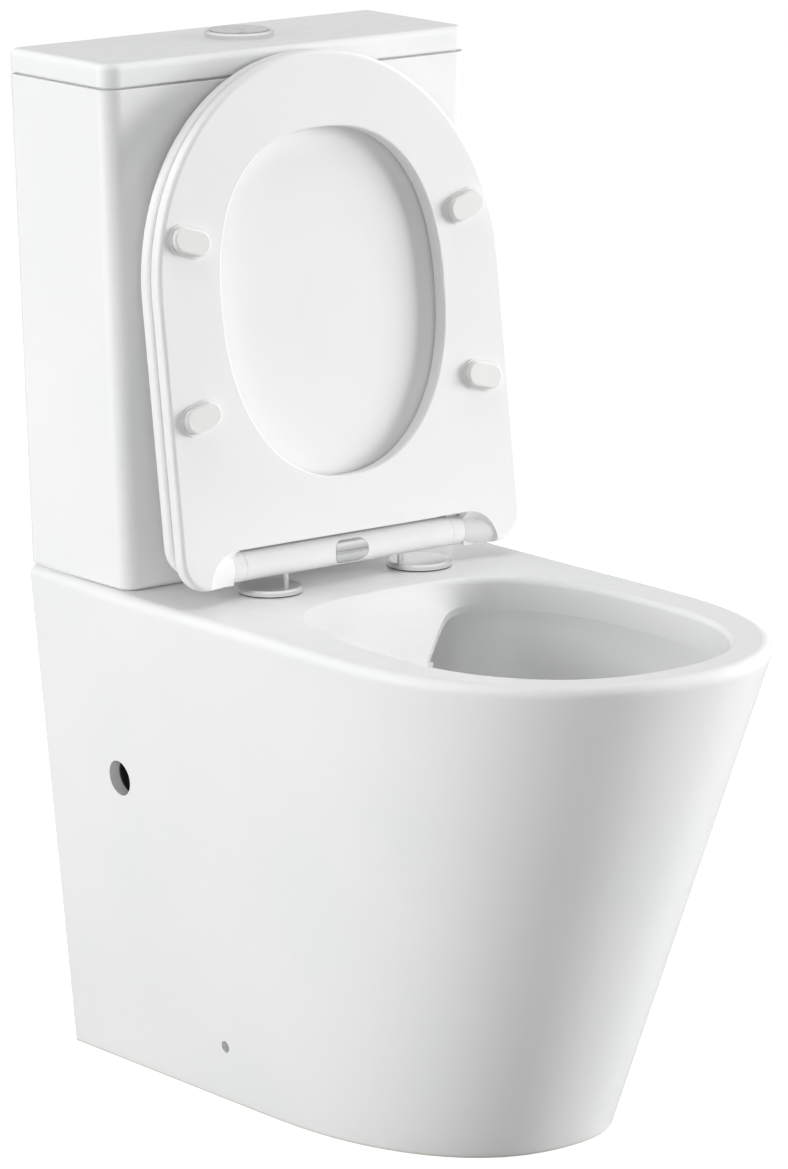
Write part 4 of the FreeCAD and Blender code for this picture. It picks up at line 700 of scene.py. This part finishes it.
def grow(name, build, **inputs):
    """A plain mesh object grown by a tree."""
    tree = one_tree(build)
    piece = bpy.data.objects.new(name, bpy.data.meshes.new(name))
    bpy.context.scene.collection.objects.link(piece)
    modifier = piece.modifiers.new("shape", "NODES")
    modifier.node_group = tree
    for item in tree.interface.items_tree:
        if item.in_out == "INPUT":
            modifier[item.identifier] = inputs[item.name.replace(" ", "_")]
    depsgraph = bpy.context.evaluated_depsgraph_get()
    mesh = bpy.data.meshes.new_from_object(piece.evaluated_get(depsgraph))
    piece.modifiers.clear()
    piece.data = mesh
    if not mesh.polygons:
        raise RuntimeError(f"{name} came out empty")
    return piece


# Operators


class TOILET_OT_china(bpy.types.Operator):
    """Glaze the pan, the cistern and the cistern's lid"""

    bl_idname = "toilet.china"
    bl_label = "Glaze the china"

    def execute(self, context):
        dress(CHINA, glazed_china(context.scene.toilet_china))
        return {"FINISHED"}


class TOILET_OT_seat(bpy.types.Operator):
    """Finish the seat, its lid, the hinge bar and the pads"""

    bl_idname = "toilet.seat"
    bl_label = "Finish the seat"

    def execute(self, context):
        plastics = context.scene.toilet_plastics
        hard = moulded("seat_plastic", plastics, plastics.seat, tone=0.985, smooth=0.36, rough=0.44,
                       depth=0.000004, IOR=1.5)
        soft = moulded("pad_plastic", plastics, plastics.pad, tone=0.97, smooth=0.38, rough=0.5,
                       depth=0.00001)
        dress(SEAT, hard)
        dress(PADS, soft)
        return {"FINISHED"}


class TOILET_OT_chrome(bpy.types.Operator):
    """Plate the hinge discs, posts, release button and flush buttons"""

    bl_idname = "toilet.chrome"
    bl_label = "Plate the chrome"

    def execute(self, context):
        metals = context.scene.toilet_metals
        for name in TURNED_CHROME:
            is_disc = name == "hinge_discs"
            across = metals.disc_side if is_disc else 0.0
            along = middle_of(name if is_disc else "button_housing").y
            dress([name], turned_chrome(f"{name}_chrome", metals, across, along))
        dress(PLAIN_CHROME, plain_chrome(metals))
        return {"FINISHED"}


class TOILET_OT_valves(bpy.types.Operator):
    """Finish the plastic and rubber of the valves and the hinge dampers"""

    bl_idname = "toilet.valves"
    bl_label = "Finish the valves"

    def execute(self, context):
        plastics = context.scene.toilet_plastics
        moving = moulded("moving_plastic", plastics, plastics.moving, tone=0.9, smooth=0.3, rough=0.42,
                         depth=0.00002)
        damper = moulded("damper_plastic", plastics, plastics.damper, tone=0.85, smooth=0.35, rough=0.5,
                         depth=0.00002)
        rubber = moulded("rubber", plastics, plastics.rubber, tone=0.8, smooth=0.55, rough=0.8, depth=0.00006,
                         grain=0.6)
        dress(VALVES, threaded_valve(plastics, context.scene.toilet_threads))
        dress(MOVING, moving)
        dress(DAMPERS, damper)
        dress(RUBBER, rubber)
        return {"FINISHED"}


class TOILET_OT_steel(bpy.types.Operator):
    """Finish the pins, plate washers and nuts"""

    bl_idname = "toilet.steel"
    bl_label = "Finish the steel"

    def execute(self, context):
        dress(STEEL, steel_finish(context))
        return {"FINISHED"}


class TOILET_OT_springs(bpy.types.Operator):
    """Wind the springs of the flush buttons and the release button"""

    bl_idname = "toilet.springs"
    bl_label = "Wind the springs"

    def execute(self, context):
        springs = context.scene.toilet_springs
        steel = steel_finish(context)
        travel = {joint["name"]: joint["range_m"][1] for joint in frame["joints"] if joint["type"] == "slide"}
        for which in ("full", "half"):
            node = f"{which}_button_spring"
            low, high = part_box(node)
            length = high.z - low.z
            foot = Vector(((low.x + high.x) / 2, (low.y + high.y) / 2, low.z))
            coil = grow(f"{which}_button_coil", coil_spring, Radius=(high.x - low.x) / 2, Wire=springs.wire,
                        Length=length, Turns=springs.button_turns, Place=foot, Lean=(0, 0, 0), Material=steel)
            joint = f"{which}_flush_press"
            self.fit(coil, node, "cistern lid", joint, (0, 0, 1), foot, 1 - travel[joint] / length)
        node = "release_spring"
        low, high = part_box(node)
        length = high.y - low.y
        front = Vector(((low.x + high.x) / 2, low.y, (low.z + high.z) / 2))
        coil = grow("release_coil", coil_spring, Radius=(high.x - low.x) / 2, Wire=springs.wire,
                    Length=length, Turns=springs.release_turns, Place=front, Lean=(-math.pi / 2, 0, 0),
                    Material=steel)
        back = front + Vector((0, length, 0))
        joint = "release_press"
        self.fit(coil, node, "hinge", joint, (0, 1, 0), back, 1 - travel[joint] / length)
        return {"FINISHED"}

    def fit(self, coil, node, body, joint, axis, fixed_end, keep):
        """Puts a coil in place of its plain node."""
        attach(coil, body)
        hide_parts(node)
        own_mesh(coil)


class TOILET_OT_threads(bpy.types.Operator):
    """Cut the threads of the cistern's bolts and the seat's studs"""

    bl_idname = "toilet.threads"
    bl_label = "Cut the threads"

    def execute(self, context):
        threads = context.scene.toilet_threads
        steel = steel_finish(context)
        for node, has_head in (("cistern_bolts", True), ("hinge_studs", False)):
            low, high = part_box(node)
            reach = threads.head_radius if has_head else threads.rod_radius
            length = high.z - low.z - (threads.head_height if has_head else 0.0)
            rods = grow(f"threaded_{node}", threaded_rods, Radius=threads.rod_radius, Pitch=threads.rod_pitch,
                        Length=length, Segments=threads.segments, Has_head=has_head,
                        Head_radius=threads.head_radius, Head_height=threads.head_height,
                        Spacing=2 * (high.x - reach), Place=(0, (low.y + high.y) / 2, low.z), Material=steel)
            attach(rods, "pan")
            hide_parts(node)
        return {"FINISHED"}


class TOILET_OT_studio(bpy.types.Operator):
    """Set up floor, light and camera"""

    bl_idname = "toilet.studio"
    bl_label = "Set up the studio"

    def execute(self, context):
        studio = context.scene.toilet_studio
        context.scene.view_settings.view_transform = "Standard"
        target = Vector(studio.target)
        self.add_floor(context, studio)
        self.add_surroundings(context, studio)
        self.add_lamps(context, studio, target)
        self.add_camera(context, studio, target)
        return {"FINISHED"}

    def add_floor(self, context, studio):
        """A wide pale floor that is white to the eye and keeps the toilet's shadow."""
        mesh = bpy.data.meshes.new("floor")
        ends = ((-1, -1), (1, -1), (1, 1), (-1, 1))
        corners = [(x * FLOOR_HALF, y * FLOOR_HALF, -FLOOR_DROP) for x, y in ends]
        mesh.from_pydata(corners, [], [(0, 1, 2, 3)])
        floor = bpy.data.objects.new("floor", mesh)
        context.scene.collection.objects.link(floor)
        material = bpy.data.materials.new("floor")
        tree = empty_tree(material)
        lit = add_node(tree, "ShaderNodeBsdfDiffuse", {"Color": studio.floor}).outputs[0]
        shadowed = add_node(tree, "ShaderNodeBsdfDiffuse", {"Color": studio.floor_shade}).outputs[0]
        glow = add_node(tree, "ShaderNodeEmission", {"Strength": studio.floor_glow}).outputs[0]
        seen = add_node(tree, "ShaderNodeAddShader", {0: shadowed, 1: glow}).outputs[0]
        to_eye = tree.nodes.new("ShaderNodeLightPath").outputs["Is Camera Ray"]
        both = add_node(tree, "ShaderNodeMixShader", {0: to_eye, 1: lit, 2: seen}).outputs[0]
        add_node(tree, "ShaderNodeOutputMaterial", {"Surface": both})
        mesh.materials.append(material)

    def add_surroundings(self, context, studio):
        """White to the eye, weak as a light, and in mirrors darker towards the horizon."""
        world = bpy.data.worlds.new("surroundings")
        tree = empty_tree(world)
        path = tree.nodes.new("ShaderNodeLightPath").outputs
        direction = tree.nodes.new("ShaderNodeTexCoord").outputs["Generated"]
        height = parts_of(tree, direction)["Z"]
        sky = fade(tree, height, low=0.0, high=MIRRORED_WHITE, start=studio.horizon, end=1.0)
        mirrored = reckon(tree, "MULTIPLY", sky, path["Is Glossy Ray"])
        bright = reckon(tree, "MAXIMUM", mirrored, path["Is Camera Ray"])
        strength = reckon(tree, "MAXIMUM", bright, studio.ambient)
        white = (1.0, 1.0, 1.0, 1.0)
        around = add_node(tree, "ShaderNodeBackground", {"Color": white, "Strength": strength}).outputs[0]
        add_node(tree, "ShaderNodeOutputWorld", {"Surface": around})
        context.scene.world = world

    def add_lamps(self, context, studio, target):
        """Lamps that shine on the target, and that chrome and glaze don't mirror."""
        for name, (width, place) in LAMPS.items():
            lamp = bpy.data.lights.new(f"{name}_light", "AREA")
            lamp.shape = "SQUARE"
            lamp.size = width
            lamp.energy = getattr(studio, name)
            light = bpy.data.objects.new(f"{name}_light", lamp)
            light.location = place
            light.visible_glossy = False
            light.rotation_euler = (target - light.location).to_track_quat("-Z", "Y").to_euler()
            context.scene.collection.objects.link(light)

    def add_camera(self, context, studio, target):
        """The camera in front of the toilet and to the left."""
        turn = studio.azimuth
        rise = studio.elevation
        back = Vector((math.sin(turn) * math.cos(rise), -math.cos(turn) * math.cos(rise), math.sin(rise)))
        level_right = Vector((math.cos(turn), math.sin(turn), 0))
        level_up = back.cross(level_right)
        right = level_right * math.cos(studio.roll) + level_up * math.sin(studio.roll)
        up = level_up * math.cos(studio.roll) - level_right * math.sin(studio.roll)
        data = bpy.data.cameras.new("camera")
        data.lens = studio.lens
        data.sensor_width = SENSOR_WIDTH
        data.shift_x, data.shift_y = studio.shift
        data.clip_end = VIEW_END
        camera = bpy.data.objects.new("camera", data)
        camera.matrix_world = (Matrix.Translation(target + back * studio.distance)
                               @ Matrix((right, up, back)).transposed().to_4x4())
        context.scene.collection.objects.link(camera)
        context.scene.camera = camera


# The sidebar, and what Blender is told about it

SETTINGS = {
    "toilet_china": ChinaSettings,
    "toilet_plastics": PlasticSettings,
    "toilet_metals": MetalSettings,
    "toilet_springs": SpringSettings,
    "toilet_threads": ThreadSettings,
    "toilet_studio": StudioSettings,
}
OPERATORS = (TOILET_OT_china, TOILET_OT_seat, TOILET_OT_chrome, TOILET_OT_valves, TOILET_OT_steel,
             TOILET_OT_springs, TOILET_OT_threads, TOILET_OT_studio)


class TOILET_PT_pieces(bpy.types.Panel):
    """The toilet's settings and steps"""

    bl_label = "Toilet"
    bl_idname = "TOILET_PT_pieces"
    bl_space_type = "VIEW_3D"
    bl_region_type = "UI"
    bl_category = "Toilet"

    def draw(self, context):
        for pointer, settings in SETTINGS.items():
            box = self.layout.box()
            box.label(text=settings.__doc__)
            for name in settings.__annotations__:
                box.prop(getattr(context.scene, pointer), name)
        for operator in OPERATORS:
            self.layout.operator(operator.bl_idname)


def register():
    for settings in SETTINGS.values():
        bpy.utils.register_class(settings)
    for pointer, settings in SETTINGS.items():
        setattr(bpy.types.Scene, pointer, PointerProperty(type=settings))
    for operator in OPERATORS:
        bpy.utils.register_class(operator)
    bpy.utils.register_class(TOILET_PT_pieces)


def unregister():
    bpy.utils.unregister_class(TOILET_PT_pieces)
    for operator in reversed(OPERATORS):
        bpy.utils.unregister_class(operator)
    for pointer in SETTINGS:
        delattr(bpy.types.Scene, pointer)
    for settings in reversed(list(SETTINGS.values())):
        bpy.utils.unregister_class(settings)


def main():
    """Sets up the studio and dresses the toilet."""
    register()
    bpy.ops.toilet.studio()
    bpy.ops.toilet.china()
    bpy.ops.toilet.seat()
    bpy.ops.toilet.chrome()
    bpy.ops.toilet.valves()
    bpy.ops.toilet.steel()
    bpy.ops.toilet.springs()
    bpy.ops.toilet.threads()


if __name__ == "__main__":
    main()
